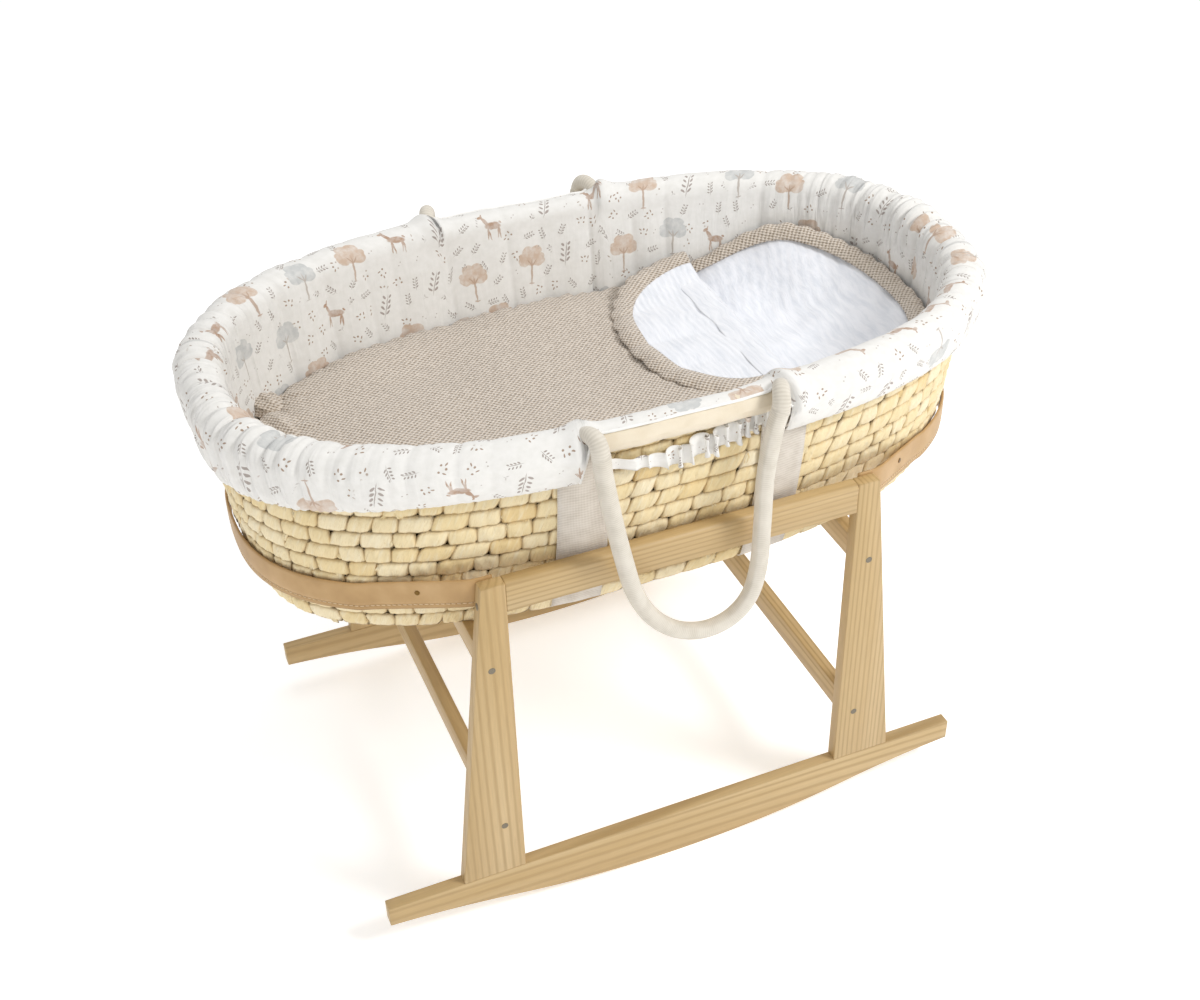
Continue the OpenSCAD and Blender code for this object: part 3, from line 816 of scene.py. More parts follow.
def wall_place(z_row):
    """Turns distance along a row, height and distance out of the wall into points."""
    turns, run, length = round_run(float(wall_a(z_row)), float(wall_b(z_row)), 2400)

    def place(along, up, out):
        t = np.interp(np.mod(along, length), run, turns)
        x, y = oval(wall_a(up) + out, wall_b(up) + out, t)
        return np.stack([x, y, up], -1)

    return place, length


rng = np.random.default_rng(7)


def pillow_lengths(at, end, shortest, longest, least):
    """Start and length of each pillow in a row; the last one takes what is left if that is under least."""
    while at < end - (least - 0.008):
        long = rng.uniform(shortest, longest)
        if end - at - long < least:
            long = end - at
        yield at, long
        at += long


pillows = []
rows = 11
for row in range(rows):
    z_row = seat_z + row_pitch * (row + 0.5)
    place, length = wall_place(z_row)
    start = rng.uniform(0, 0.02)
    for at, long in pillow_lengths(start, start + length, 0.021, 0.036, 0.020):
        slant = rng.uniform(-0.0008, 0.0050)
        height = row_pitch * rng.uniform(1.10, 1.20)
        pillows.append(pillow(rng, (at + long / 2, z_row), long / 2 * 1.09, height, slant, place=place))
pillow_mesh("woven_wall", pillows, "basket_wall")
print(len(pillows), "pillows in", rows, "rows")

# %% Short slanted strands where one wrapping dives under the next
strands, strands_in_row = [], 44
for row in range(rows - 1):
    z_row = seat_z + row_pitch * (row + 0.5)
    place, length = wall_place(z_row)
    for _ in range(strands_in_row):
        centre = (rng.uniform(0, length), z_row + rng.uniform(-0.4, 0.4) * row_pitch)
        strands.append(pillow(rng, centre, rng.uniform(0.0022, 0.0040), rng.uniform(0.009, 0.016),
                              rng.uniform(-0.003, 0.005), top=crown - 0.0012, place=place))
pillow_mesh("wrapping_strands", strands)

# %% The wall behind the pillows, dark as painted shade, and the woven base with a dark sheet behind it as painted shade
back_z = np.linspace(seat_z + 0.001, rim_z + 0.002, 8)
back_turns, _ = even_turns(base_a, base_b, 120)
back_rings = []
for depth, heights in ((-0.0066, back_z), (-0.0138, back_z[::-1])):
    for z in heights:
        x, y = oval(wall_a(z) + depth, wall_b(z) + depth, back_turns)
        back_rings.append(np.stack([x, y, np.full_like(x, z)], -1))
back_rings.append(back_rings[0])
back_wall = grid_piece("weave_backing_painted_shade", back_rings, shade, closed=True)
finish_piece(back_wall, "basket", "maize_husk")

base_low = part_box("basket_base")[0]
base_rows = []
for inset in np.arange(0.004, 0.19, 0.020):
    a, b = base_a - inset, base_b - inset
    if b < 0.012:
        break
    turns, run, length = round_run(a, b, 1200)

    def base_place(along, up, out, a=a, b=b, run=run, turns=turns, length=length):
        t = np.interp(np.mod(along, length), run, turns)
        x, y = oval(a - up, b - up, t)
        return np.stack([x, y, base_low.z - out * 0.8 - 0.0004], -1)

    for at, long in pillow_lengths(0.0, length, 0.024, 0.040, 0.022):
        base_rows.append(pillow(rng, (at + long / 2, 0.010), long / 2 * 1.03, 0.0205, rng.uniform(0.001, 0.004),
                                place=base_place))
pillow_mesh("woven_base", base_rows, "basket_base")
# a dark sheet behind the base's pillows, painted shade for the cracks between them
base_sheet = []
for share in (0.0, 0.25, 0.5, 0.75, 1.0):
    x, y = oval((base_a - 0.008) * share, (base_b - 0.008) * share, back_turns)
    base_sheet.append(np.stack([x, y, np.full_like(x, base_low.z + 0.0062)], -1))
base_back = grid_piece("base_backing_painted_shade", base_sheet[::-1], shade, closed=True)
finish_piece(base_back, "basket", "maize_husk")

# %% [markdown]
# ## Cotton cloths
# The cotton cloths share one idea: a fine plain or twill weave that is drawn as bump from the cloth's own UV map, in
# metres, with a soft sheen at grazing angles. A woven thread is 0.3 mm wide, far too fine to show, so the weave is
# drawn at 1 to 2 mm. The liner's cotton is printed. Its print is worked out in the shader: the cloth is cut into
# cells, each cell picks a motif, and a motif is a few ellipses with wobbly edges, as a brush would leave them.

# %% Plain weave, twill tape, binding and piping
def woven_cotton(name, light, dark, pitch, sheen=0.25, twill=False, roughness=0.85, depth=0.0004):
    """A cloth whose weave repeats every pitch metres; twill turns the threads to diagonal ribs."""
    material, add, shader = new_material(name, roughness, Sheen_Weight=sheen, Sheen_Roughness=0.5,
                                          Specular_IOR_Level=0.2)
    uv = add("UVMap", uv_map="cloth_uv")
    turned = add("Mapping", {"Vector": uv, "Rotation": (0, 0, 0.785 if twill else 0.0),
                                                  "Scale": (1 / pitch, (0.45 if twill else 1.0) / pitch, 1)})
    parts = add("SeparateXYZ", {0: turned}).node.outputs
    turns = [add("Math", {0: parts[axis], 1: 2 * math.pi}, operation="MULTIPLY") for axis in "XY"]
    warp, weft = (add("Math", {0: turn}, operation="SINE") for turn in turns)
    weave = add("Math", {0: warp, 1: weft}, operation="MULTIPLY")
    cloud = add("TexNoise", {"Vector": uv, "Scale": 45.0, "Detail": 3.0})
    mixed = add("Math", {0: weave, 1: 0.22, 2: cloud}, operation="MULTIPLY_ADD")
    # partly painted shade: the colour darkens where the weave dips between threads; the cloud noise gives the
    # cloth's own slight tone changes
    colour = add("ValToRGB", {"Fac": mixed}, ramp=[(0.2, dark), (0.62, light)])
    bump = add("Bump", {"Height": weave, "Strength": 0.35, "Distance": depth})
    plug(shader, {"Base Color": colour, "Normal": bump})
    return material


binding_cotton = woven_cotton("cream_cotton_sateen_binding", "#EFE3CD", "#E3D4BA", 0.0012, roughness=0.7)
piping_cotton = woven_cotton("white_cotton_piping", "#FBFAF7", "#E9E7E2", 0.0012)
tape_cotton = woven_cotton("grey_beige_cotton_webbing", "#DDD5CA", "#C3B9AC", 0.0021, twill=True, depth=0.0006)
handle_cotton = woven_cotton("off_white_cotton_twill_tube", "#DFD8CB", "#CAC2B3", 0.0015, twill=True,
                             depth=0.0003)
cover_cotton = woven_cotton("white_cotton_mattress_cover", "#F8F8F6", "#E4E3E0", 0.0014)
print("made", binding_cotton.name, tape_cotton.name, handle_cotton.name)

# %% The print's motifs, as ellipses: (x, y, half width, half height, turn in degrees), in shares of a cell
tree_crown = [(0, 0.14, 0.20, 0.17, 0), (-0.14, 0.06, 0.13, 0.11, 0), (0.15, 0.07, 0.13, 0.11, 0),
              (-0.08, 0.24, 0.13, 0.10, 0), (0.09, 0.24, 0.12, 0.10, 0), (-0.20, 0.14, 0.07, 0.06, 0),
              (0.21, 0.15, 0.07, 0.06, 0)]
tree_trunk = [(0, -0.14, 0.020, 0.24, 0), (-0.045, 0.02, 0.012, 0.08, 40), (0.045, 0.03, 0.012, 0.08, -40),
              (0, -0.36, 0.055, 0.012, 0)]
fawn = [(0, -0.02, 0.150, 0.062, 4), (0.13, 0.07, 0.036, 0.10, -28), (0.195, 0.165, 0.056, 0.030, -18),
        (0.155, 0.215, 0.014, 0.038, 24), (-0.115, -0.15, 0.016, 0.125, -6), (-0.085, -0.14, 0.014, 0.115, 8),
        (0.085, -0.15, 0.014, 0.12, -8), (0.115, -0.14, 0.014, 0.12, 8), (-0.155, 0.02, 0.030, 0.016, 35)]
sprig = [(0, -0.02, 0.008, 0.22, 14)]
for pair in range(4):
    for hand in (-1, 1):
        rise = -0.16 + 0.095 * pair
        sprig.append((hand * 0.062 - 0.24 * rise, rise + 0.035, 0.050 - 0.004 * pair, 0.020,
                      hand * (38 + 5 * pair)))
berries = [(-0.10, 0.06, 0.030, 0.030, 0), (0.02, -0.08, 0.028, 0.028, 0), (0.09, 0.07, 0.032, 0.032, 0),
           (0.0, 0.16, 0.05, 0.02, 50), (0.14, -0.04, 0.05, 0.02, -30)]
print("motifs of", len(tree_crown) + len(tree_trunk), len(fawn), len(sprig), len(berries), "ellipses")

# %% Printed cotton
def motif_mask(add, local, shapes, soft=0.06):
    """White inside any of the ellipses, black outside."""
    mask = None
    for x, y, wide, high, turn in shapes:
        shifted = add("VectorMath", {0: local, 1: (x, y, 0)}, operation="SUBTRACT")
        placed = add("VectorRotate", {"Vector": shifted, "Angle": math.radians(-turn)},
                          rotation_type="Z_AXIS")
        scaled = add("VectorMath", {0: placed, 1: (1 / wide, 1 / high, 0)}, operation="MULTIPLY")
        reach = add("VectorMath", {0: scaled}, operation="LENGTH", out="Value")
        mask = reach if mask is None else add("Math", {0: mask, 1: reach}, operation="MINIMUM")
    return add("MapRange", {"Value": mask, "From Min": 1 + soft, "From Max": 1 - soft})


def scatter(add, uv, cell, shift, wobble, spin):
    """Cuts the cloth in staggered cells. Gives the place in the cell, turned at random, and three random numbers."""
    moved = add("Mapping", {"Vector": uv, "Location": shift, "Scale": (1 / cell, 1 / cell, 0)})
    parts = add("SeparateXYZ", {0: moved}).node.outputs
    row = add("Math", {0: parts["Y"]}, operation="FLOOR")
    stagger = add("Math", {0: row, 1: 0.5, 2: parts["X"]}, operation="MULTIPLY_ADD")
    staggered = add("CombineXYZ", {0: stagger, 1: parts["Y"]})
    home = add("VectorMath", {0: staggered}, operation="FLOOR")
    dice = add("TexWhiteNoise", {"Vector": home}, noise_dimensions="2D", out="Color")
    rolls = add("SeparateXYZ", {0: dice}).node.outputs
    inside = add("VectorMath", {0: staggered, 1: home}, operation="SUBTRACT")
    nudge = add("VectorMath", {0: dice, 1: (0.34, 0.34, 0)}, operation="MULTIPLY")
    nudged = add("VectorMath", {0: inside, 1: nudge}, operation="SUBTRACT")
    centred = add("VectorMath", {0: nudged, 1: (0.33, 0.33, 0)}, operation="SUBTRACT")
    angle = add("MapRange", {"Value": rolls["X"], "To Min": -spin, "To Max": spin})
    turned = add("VectorRotate", {"Vector": centred, "Angle": angle}, rotation_type="Z_AXIS")
    rough = add("TexNoise", {"Vector": moved, "Scale": 9.0, "Detail": 2.0}, out="Color")
    offset = add("VectorMath", {0: rough, 1: (0.5, 0.5, 0.5)}, operation="SUBTRACT")
    bent = add("VectorMath", {0: offset, 1: (wobble, wobble, 0), 2: turned}, operation="MULTIPLY_ADD")
    return bent, rolls


def when(add, value, low, high):
    """1 where value lies between low and high."""
    above = add("Math", {0: value, 1: low}, operation="GREATER_THAN")
    below = add("Math", {0: value, 1: high}, operation="LESS_THAN")
    return add("Math", {0: above, 1: below}, operation="MULTIPLY")


def print_over(add, ground, masks, colour, strength=1.0):
    """Prints a colour on the ground where all of the masks are white."""
    mask = masks[0]
    for other in masks[1:]:
        mask = add("Math", {0: mask, 1: other}, operation="MULTIPLY")
    if strength < 1:
        mask = add("Math", {0: mask, 1: strength}, operation="MULTIPLY")
    return add("Mix", {0: mask, 6: ground, 7: linear(colour)}, data_type="RGBA")


def printed_cotton(name):
    material, add, shader = new_material(name, 0.8, Sheen_Weight=0.2, Sheen_Roughness=0.5,
                                         Specular_IOR_Level=0.25)
    uv = add("UVMap", uv_map="cloth_uv")
    wash = add("TexNoise", {"Vector": uv, "Scale": 130.0, "Detail": 3.0})
    ground = add("ValToRGB", {"Fac": wash}, ramp=[(0.3, "#E6E4DF"), (0.7, "#EDEBE7")])
    # large motifs: a tree is about 45 mm high, and a fawn about 32 mm long
    place, rolls = scatter(add, uv, 0.063, (0, 0.012, 0), 0.045, 0.12)
    wet = add("TexNoise", {"Vector": uv, "Scale": 95.0, "Detail": 4.0, "Roughness": 0.65})
    brushed = add("MapRange", {"Value": wet, "From Min": 0.34, "From Max": 0.6, "To Min": 0.45})
    crown, trunk = motif_mask(add, place, tree_crown), motif_mask(add, place, tree_trunk, 0.2)
    beige_tree, grey_tree = when(add, rolls["Z"], -1, 0.24), when(add, rolls["Z"], 0.24, 0.46)
    ground = print_over(add, ground, [crown, beige_tree, brushed], "#CDB6A2")
    ground = print_over(add, ground, [crown, grey_tree, brushed], "#C6C7C5")
    ground = print_over(add, ground, [trunk, beige_tree], "#B79B86", 0.8)
    ground = print_over(add, ground, [trunk, grey_tree], "#B5AAA0", 0.8)
    fawn_here = when(add, rolls["Z"], 0.46, 0.74)
    ground = print_over(add, ground, [motif_mask(add, place, fawn, 0.12), fawn_here, brushed], "#B3957F")
    sprig_here = when(add, rolls["Z"], 0.74, 2)
    ground = print_over(add, ground, [motif_mask(add, place, sprig, 0.15), sprig_here], "#9C8F87", 0.85)
    # small motifs between them: sprigs of 20 mm and berries of 3 mm, kept off the large ones
    room = motif_mask(add, place, [(0, 0, 0.30, 0.34, 0)], 0.1)
    free = add("Math", {0: 1.0, 1: room}, operation="SUBTRACT")
    small, small_rolls = scatter(add, uv, 0.0225, (0.011, 0.004, 0), 0.04, 1.3)
    small_sprig = [(x * 1.5, y * 1.5, wide * 1.5, high * 1.5, turn) for x, y, wide, high, turn in sprig]
    ground = print_over(add, ground, [motif_mask(add, small, small_sprig, 0.2), free,
                                       when(add, small_rolls["Z"], -1, 0.40)], "#8F8279", 0.85)
    small_berries = [(x * 1.6, y * 1.6, wide * 1.6, high * 1.6, turn) for x, y, wide, high, turn in berries]
    ground = print_over(add, ground, [motif_mask(add, small, small_berries, 0.2), free,
                                       when(add, small_rolls["Z"], 0.40, 0.74)], "#9A8069", 0.9)
    ground = print_over(add, ground, [motif_mask(add, small, berries[:1] + berries[2:3], 0.3), free,
                                       when(add, small_rolls["Z"], 0.74, 2)], "#B7ADA6", 0.9)
    threads = add("TexNoise", {"Vector": uv, "Scale": 1400.0})
    creases = add("TexNoise", {"Vector": uv, "Scale": 60.0, "Detail": 2.0})
    relief = add("Math", {0: creases, 1: 4.0, 2: threads}, operation="MULTIPLY_ADD")
    bump = add("Bump", {"Height": relief, "Strength": 0.18, "Distance": 0.0012})
    # creases 6 to 15 mm apart run across the roll where the attribute says that the cloth is gathered
    gathered = add("Attribute", attribute_name="tint", out="Fac")
    crossed = add("Mapping", {"Vector": uv, "Rotation": (0, 0, 0.12), "Scale": (95.0, 11.0, 1.0)})
    crease = add("TexNoise", {"Vector": crossed, "Scale": 1.0, "Detail": 2.0, "Distortion": 0.5})
    deep = add("Math", {0: crease, 1: gathered}, operation="MULTIPLY")
    creased = add("Bump", {"Height": deep, "Strength": 0.9, "Distance": 0.0085, "Normal": bump})
    plug(shader, {"Base Color": ground, "Normal": creased})
    return material


liner_cotton = printed_cotton("white_printed_cotton_plain_weave")
print("nodes in the print:", len(liner_cotton.node_tree.nodes))

# %% [markdown]
# ## Bound rim
# The wall's rough top is bound with a roll of wadding under cream sateen. It shows between the handles, where the
# liner is cut away. A round section swept round the oval, with a few shallow wrinkles, is all that it needs.

# %% Rim binding
binding_low, binding_high = (v.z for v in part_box("rim_binding"))
binding_r, binding_z = (binding_high - binding_low) / 2, (binding_high + binding_low) / 2


def soft_noise(seed, count, waves):
    """A smooth random curve that closes on itself: a sum of waves (number round the loop, size)."""
    rng = np.random.default_rng(seed)
    turn = np.linspace(0, 2 * math.pi, count, endpoint=False)
    return sum(size * np.sin(n * turn + rng.uniform(0, 6.3)) for n, size in waves)


binding_columns = 300
binding_turns, binding_length = even_turns(top_a, top_b, binding_columns)
binding_points, binding_uv = [], []
wrinkle = soft_noise(3, binding_columns, [(17, 0.0003), (29, 0.0004), (53, 0.0003), (71, 0.0002)])
for k in range(25):
    u = 2 * math.pi * k / 24
    r = binding_r - 0.0002 + wrinkle * math.cos(u * 2 + 1)
    x, y = oval(top_a + r * math.cos(u), top_b + r * math.cos(u), binding_turns)
    binding_points.append(np.stack([x, y, binding_z + r * math.sin(u)], -1))
    binding_uv.append(np.stack([np.linspace(0, binding_length, binding_columns + 1),
                                np.full(binding_columns + 1, binding_r * u)], -1))
binding = grid_piece("rim_binding_roll", binding_points[::-1], binding_cotton, uv=binding_uv[::-1], closed=True)
finish_piece(binding, "basket", "cotton_binding", "rim_binding")

# %% [markdown]
# ## Padded liner
# The liner is one printed cotton cover over thin wadding. It lies in the basket, rolls over the rim and ends in an
# elastic hem. Along each handle its outer half is cut away, and the cut edge is piped. It is built as one fine
# grid: up the inside, over the roll and down the skirt. The wadding makes it bulge between the gathers, so each
# fold is a round ridge between narrow valleys. The folds are deep where the cloth is gathered, at the foot of the
# inside wall and round the two tight ends, and shallow along the straight skirt. The folds are placed by a formula
# and not simulated, which keeps the cloth in line with its cut-outs and its piping.

# %% The liner's line from the inside bottom, over the rim, to the hem
roll_out, roll_z, roll_r, hem_z, hem_out = 0.002, 0.5925, 0.0205, 0.5545, 0.0105
inside_z = np.linspace(0.3905, 0.572, 36)
inside_d = -0.0175 - 0.0085 * np.sin(np.pi * (inside_z - inside_z[0]) / (0.60 - inside_z[0])) ** 0.9
roll_turn = np.radians(np.linspace(184, -24, 34))
skirt = [(roll_out + roll_r - 0.0032, 0.5760), (roll_out + roll_r - 0.0060, 0.5670), (0.0130, 0.5590),
         (hem_out, hem_z), (0.0075, 0.5535), (0.0050, 0.5560)]
liner_line = np.concatenate([
    np.stack([inside_d, inside_z], 1),
    np.stack([roll_out + roll_r * np.cos(roll_turn), roll_z + roll_r * np.sin(roll_turn)], 1),
    np.array(skirt),
])
liner_run = run_along(liner_line)
liner_rows, liner_columns = 84, 900
even = np.linspace(0, liner_run[-1], liner_rows * 3)
line = resample(liner_line, liner_run, even)
relax(line, 12)
liner_total = liner_run[-1]
line_along = np.gradient(line, axis=0)
line_along /= np.linalg.norm(line_along, axis=1)[:, None]
line_normal = np.stack([-line_along[:, 1], line_along[:, 0]], 1)
print("the liner's cloth is", round(liner_total, 3), "m from its foot to its hem")

# %% Folds and the liner's mesh
def area_of(points):
    """The area of a grid of points."""
    along, across = points[1:, :-1] - points[:-1, :-1], points[:-1, 1:] - points[:-1, :-1]
    return float(np.linalg.norm(np.cross(along, across), axis=-1).sum())


liner_turns, liner_length = even_turns(top_a, top_b, liner_columns)
round_x, round_y = oval(top_a, top_b, liner_turns)
ends = ((np.abs(round_x) / top_a) ** 3)[None, :]
cut_left, cut_right = -0.098, 0.088
crest_place = liner_run[36 + int(np.argmin(np.abs(roll_turn - math.radians(64))))]


def fold_field(seed, spacing, warp=0.35):
    """Round ridges between sharp valleys along the rim, about spacing metres apart, never quite even."""
    count = round(liner_length / spacing)
    turn = np.linspace(0, 2 * math.pi, liner_columns, endpoint=False)
    bend = soft_noise(seed, liner_columns, [(3, warp), (7, warp), (13, warp * 0.8), (23, warp * 0.5)])
    size = 0.65 + 0.35 * np.clip(soft_noise(seed + 1, liner_columns, [(5, 0.5), (11, 0.5), (19, 0.5)]), -1, 1)
    return (np.abs(np.sin((count * turn) / 2 + bend * 2)) ** 0.55 - 0.62) * size


wide_folds, gathers = fold_field(11, 0.062), fold_field(21, 0.017, 0.6)
fine_gathers, slow = fold_field(31, 0.009, 0.8), soft_noise(41, liner_columns, [(4, 0.5), (9, 0.5), (15, 0.3)])
outside = np.maximum(round_x - cut_right, cut_left - round_x)
cut_blend = between(outside, 0, 0.015)
end_place = crest_place + (liner_total - crest_place) * cut_blend
row_share = np.linspace(0, 1, liner_rows)
# rows stay crowded where the cloth bends, so they are spaced along the whole cloth and cut short at the openings
reach = row_share[:, None] * end_place[None, :]
base_d = np.interp(reach, even, line[:, 0])
base_z = np.interp(reach, even, line[:, 1])
normal_d = np.interp(reach, even, line_normal[:, 0])
normal_z = np.interp(reach, even, line_normal[:, 1])


foot = 1 - between(reach, 0.0, 0.15)
inside = 1 - between(reach, 0.17, 0.21)
over_roll = between(reach, 0.17, 0.20) * (1 - between(reach, crest_place + 0.05, liner_total))
skirt_part = between(reach, crest_place, liner_total - 0.01)
lift = 0.0150 * wide_folds[None, :] * inside * (0.5 + 0.9 * foot)
lift += 0.0042 * gathers[None, :] * inside * (0.15 + 1.0 * foot) * (0.4 + 0.6 * ends)
lift += 0.0085 * gathers[None, :] * over_roll * (0.03 + 1.1 * ends**1.8)
lift += 0.0050 * wide_folds[None, :] * over_roll * (0.35 + 0.9 * ends)
lift += 0.0032 * fine_gathers[None, :] * (over_roll + skirt_part) * ends**2
lift += 0.0010 * fine_gathers[None, :] * between(reach, liner_total - 0.03, liner_total) * cut_blend[None, :]
lift += 0.0011 * slow[None, :] * (inside + over_roll)
# where the cloth is cut away it settles on the binding, and it humps over each handle's root
settle = (1 - cut_blend[None, :]) * between(reach, crest_place - 0.035, crest_place) * 0.0045
root_hump = (np.exp(-(((round_x + 0.108) / 0.013) ** 2)) + np.exp(-(((round_x - 0.099) / 0.013) ** 2)))[None, :]
lift += 0.0075 * root_hump * between(reach, 0.195, 0.235) * (1 - between(reach, 0.262, 0.295))
sheet_d = base_d + normal_d * (lift - settle)
sheet_z = base_z + normal_z * (lift - settle)
hem_dip = 0.025 * (np.abs(round_x) / (top_a + 0.02)) ** 4
hem_weight = np.clip((roll_z - sheet_z) / (roll_z - hem_z), 0, 1.05) * (sheet_d > roll_out)
floor_z = np.minimum(sheet_z, rim_z)
liner_x, liner_y = oval(wall_a(floor_z) + sheet_d, wall_b(floor_z) + sheet_d, liner_turns[None, :])
liner_points = np.stack([liner_x, liner_y, sheet_z - hem_dip[None, :] * hem_weight], -1)
u_run = np.linspace(0, liner_length, liner_columns + 1)
closing = np.concatenate([reach, reach[:, :1]], 1)
liner_uv = np.stack([np.repeat(u_run[None, :], liner_rows, 0), closing], -1)
gathered = (over_roll + 0.6 * skirt_part) * (0.03 + 1.3 * ends**2.2) + inside * (0.12 + 0.5 * ends)
gathered = np.clip(gathered, 0, 1)
liner = grid_piece("padded_liner", liner_points[:, ::-1], liner_cotton, uv=liner_uv[:, ::-1], closed=True,
                   tint=gathered[:, ::-1])
finish_piece(liner, "basket", "printed_cotton", "liner")
liner_area = area_of(liner_points)
print("the liner's cloth:", round(liner_total, 3), "by", round(liner_area / liner_total * 1.02, 3), "m")
print("liner spans", [round(float(v), 4) for v in liner_points.reshape(-1, 3).max(0)])

# %% [markdown]
# ## Piping, carrying tapes and elastic ruffles
# Piping is a cord sewn in the cut edge. Two webbing tapes carry the basket's weight: each one goes down the front
# wall, under the base and up the rear wall, and the handles are sewn to its ends. The ruffle is a strip of the
# liner's cloth gathered on an elastic that holds the two halves of the skirt together under the handle.

# %% A tube swept along a line of points
def tube_points(line, radii, sides, start_up=(0, 0, 1)):
    """Rings round a line of points, with no twist between them."""
    line = np.asarray(line, float)
    along = np.gradient(line, axis=0)
    along /= np.linalg.norm(along, axis=1)[:, None]
    up = np.asarray(start_up, float)
    rings = []
    for point, direction, radius in zip(line, along, np.broadcast_to(radii, len(line))):
        up = up - direction * (up @ direction)
        up /= np.linalg.norm(up)
        side_way = np.cross(direction, up)
        turn = np.linspace(0, 2 * math.pi, sides, endpoint=False)
        rings.append(point + radius * (np.cos(turn)[:, None] * up + np.sin(turn)[:, None] * side_way))
    return np.array(rings)


def tube_piece(name, line, rings, radius, material):
    """A closed tube from its rings, with a UV map of its real size."""
    round_run = np.linspace(0, 2 * math.pi * radius, rings.shape[1] + 1)
    uv = np.stack(np.meshgrid(round_run, run_along(line)), -1)
    obj = grid_piece(name, rings, material, uv=uv, closed=True)
    close_ends(obj)
    return obj


def smooth_line(points, count):
    """A smooth curve through a few points, at count even places."""
    points = np.asarray(points, float)
    ends = np.concatenate([[2 * points[0] - points[1]], points, [2 * points[-1] - points[-2]]])
    curve = []
    for a, b, c, d in zip(ends, ends[1:], ends[2:], ends[3:]):
        for t in np.linspace(0, 1, 12, endpoint=False):
            curve.append(0.5 * (2 * b + (c - a) * t + (2 * a - 5 * b + 4 * c - d) * t * t
                                + (3 * b - a - 3 * c + d) * t**3))
    curve = np.array(curve + [points[-1]])
    run = run_along(curve)
    return resample(curve, run, np.linspace(0, run[-1], count))


# %% Piping along the two cut edges
piping_r = 0.0015
for name, face in (("front", -1), ("rear", 1)):
    edge = np.where((face * round_y > 0.1) & (round_x > cut_left - 0.012) & (round_x < cut_right + 0.012))[0]
    edge_line = liner_points[-1, edge]
    edge_line = smooth_line(edge_line[np.argsort(edge_line[:, 0])][::3], 160)
    piping = tube_piece(f"{name}_cut_edge_piping", edge_line, tube_points(edge_line, piping_r, 10), piping_r,
                        piping_cotton)
    finish_piece(piping, "basket", "printed_cotton")

# %% Carrying tapes
tape_width, tape_x = 0.052, 0.106
tape_across = np.linspace(-tape_width / 2, tape_width / 2, 9)


def carry_tape(name, x_mid):
    heights = np.linspace(rim_z - 0.002, seat_z + 0.004, 40)
    lines = []
    for x_offset in tape_across:
        x = x_mid + x_offset
        off = 0.0021 + 0.0006 * math.cos(x_offset / tape_width * 9)
        front = [(-(wall_y(x, z) + off), z) for z in heights]
        foot_y = float(wall_y(x, seat_z))
        under = [(-foot_y + v, seat_z - 0.0014) for v in np.linspace(0.0, 2 * foot_y, 50)]
        rear = [(-y, z) for y, z in reversed(front)]
        lines.append([(x, float(y), float(z)) for y, z in front + under + rear])
    points = np.array(lines).transpose(1, 0, 2)
    relax(points, 2)
    run = run_along(points[:, 4])
    uv = np.stack(np.meshgrid(tape_across, run), -1)
    tape = grid_piece(f"{name}_webbing_tape", points, tape_cotton, uv=uv)
    thicken(tape, 0.0012, offset=0)
    finish_piece(tape, "basket", "cotton_tape", f"{name}_carry_tape")
    return float(run[-1])


print("tapes are", round(carry_tape("left", -tape_x), 3), round(carry_tape("right", tape_x), 3), "m long")

# %% Elastic ruffles
def ruffle(name, face):
    rng = np.random.default_rng(5 if face < 0 else 6)
    columns, rows_up = 420, 9
    s = np.linspace(0, 1, columns)
    x = -0.088 + 0.176 * s
    middle_z = rim_z - 0.0265 + 0.017 * np.abs((x + 0.016) / 0.085) ** 1.7
    fullness = 0.25 + 0.75 * between(s, 0.12, 0.55)
    # the folds crowd together to the right, where the elastic is pulled hardest
    phase = 2 * math.pi * (7 * s + 6 * s * s) + 0.9 * np.sin(2 * math.pi * 5 * s + rng.uniform(0, 6))
    points = np.empty((rows_up, columns, 3))
    for k, share in enumerate(np.linspace(-1, 1, rows_up)):
        flare = 0.6 + 0.4 * abs(share) ** 1.3
        swing = np.sin(phase + 0.5 * share)
        away = 0.0056 + 0.0044 * swing * flare * fullness
        crowd = 0.0045 * np.cos(phase + 0.5 * share) * flare * fullness
        height = (0.0040 + 0.0085 * fullness) * share * (1 + 0.16 * np.sin(phase * 0.5 + 2 * share))
        height += 0.0018 * fullness * np.sin(phase * 0.37 + 1.0)
        z = middle_z + height
        points[k] = np.stack([x + crowd, face * (wall_y(x, z) + away), z], -1)
    along = run_along(points[0])
    uv = np.stack(np.meshgrid(along, np.linspace(0, 0.026, rows_up)), -1)
    if face > 0:
        points, uv = points[:, ::-1], uv[:, ::-1]
    strip = grid_piece(f"{name}_elastic_ruffle", points, liner_cotton, uv=uv)
    thicken(strip, 0.0007)
    finish_piece(strip, "basket", "printed_cotton", f"{name}_ruffle")
    return float(along[-1])


print("ruffles are cut", round(ruffle("front", -1), 3), round(ruffle("rear", 1), 3), "m long")

# %% [markdown]
# ## Rope handles
# A handle is a jute rope pulled through a sewn tube of off-white twill. The tube's seam shows as a low ridge along
# its inner side. It hangs as a long loop, and its two roots turn in over the bound rim and go under the liner.
# The loop is one swept tube with the twill in its UV map. The roots are short bent pieces between the basket and
# the loop; the real cloth there bends when the loop is lifted.

# %% Handle loop
cover_near, cover_far = (v.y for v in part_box("front_handle_cover"))
handle_r, handle_y = (cover_far - cover_near) / 2, -(cover_far + cover_near) / 2
handle_sides = 28
handle_points = [(-100, 598), (-98, 575), (-90, 525), (-79, 468), (-68, 424), (-50, 388), (-24, 362), (8, 350),
                 (38, 356), (59, 378), (68, 415), (70, 468), (71, 525), (78, 575), (84, 598)]
loop_line = smooth_line([(x / 1000, -handle_y, z / 1000) for x, z in handle_points], 200)


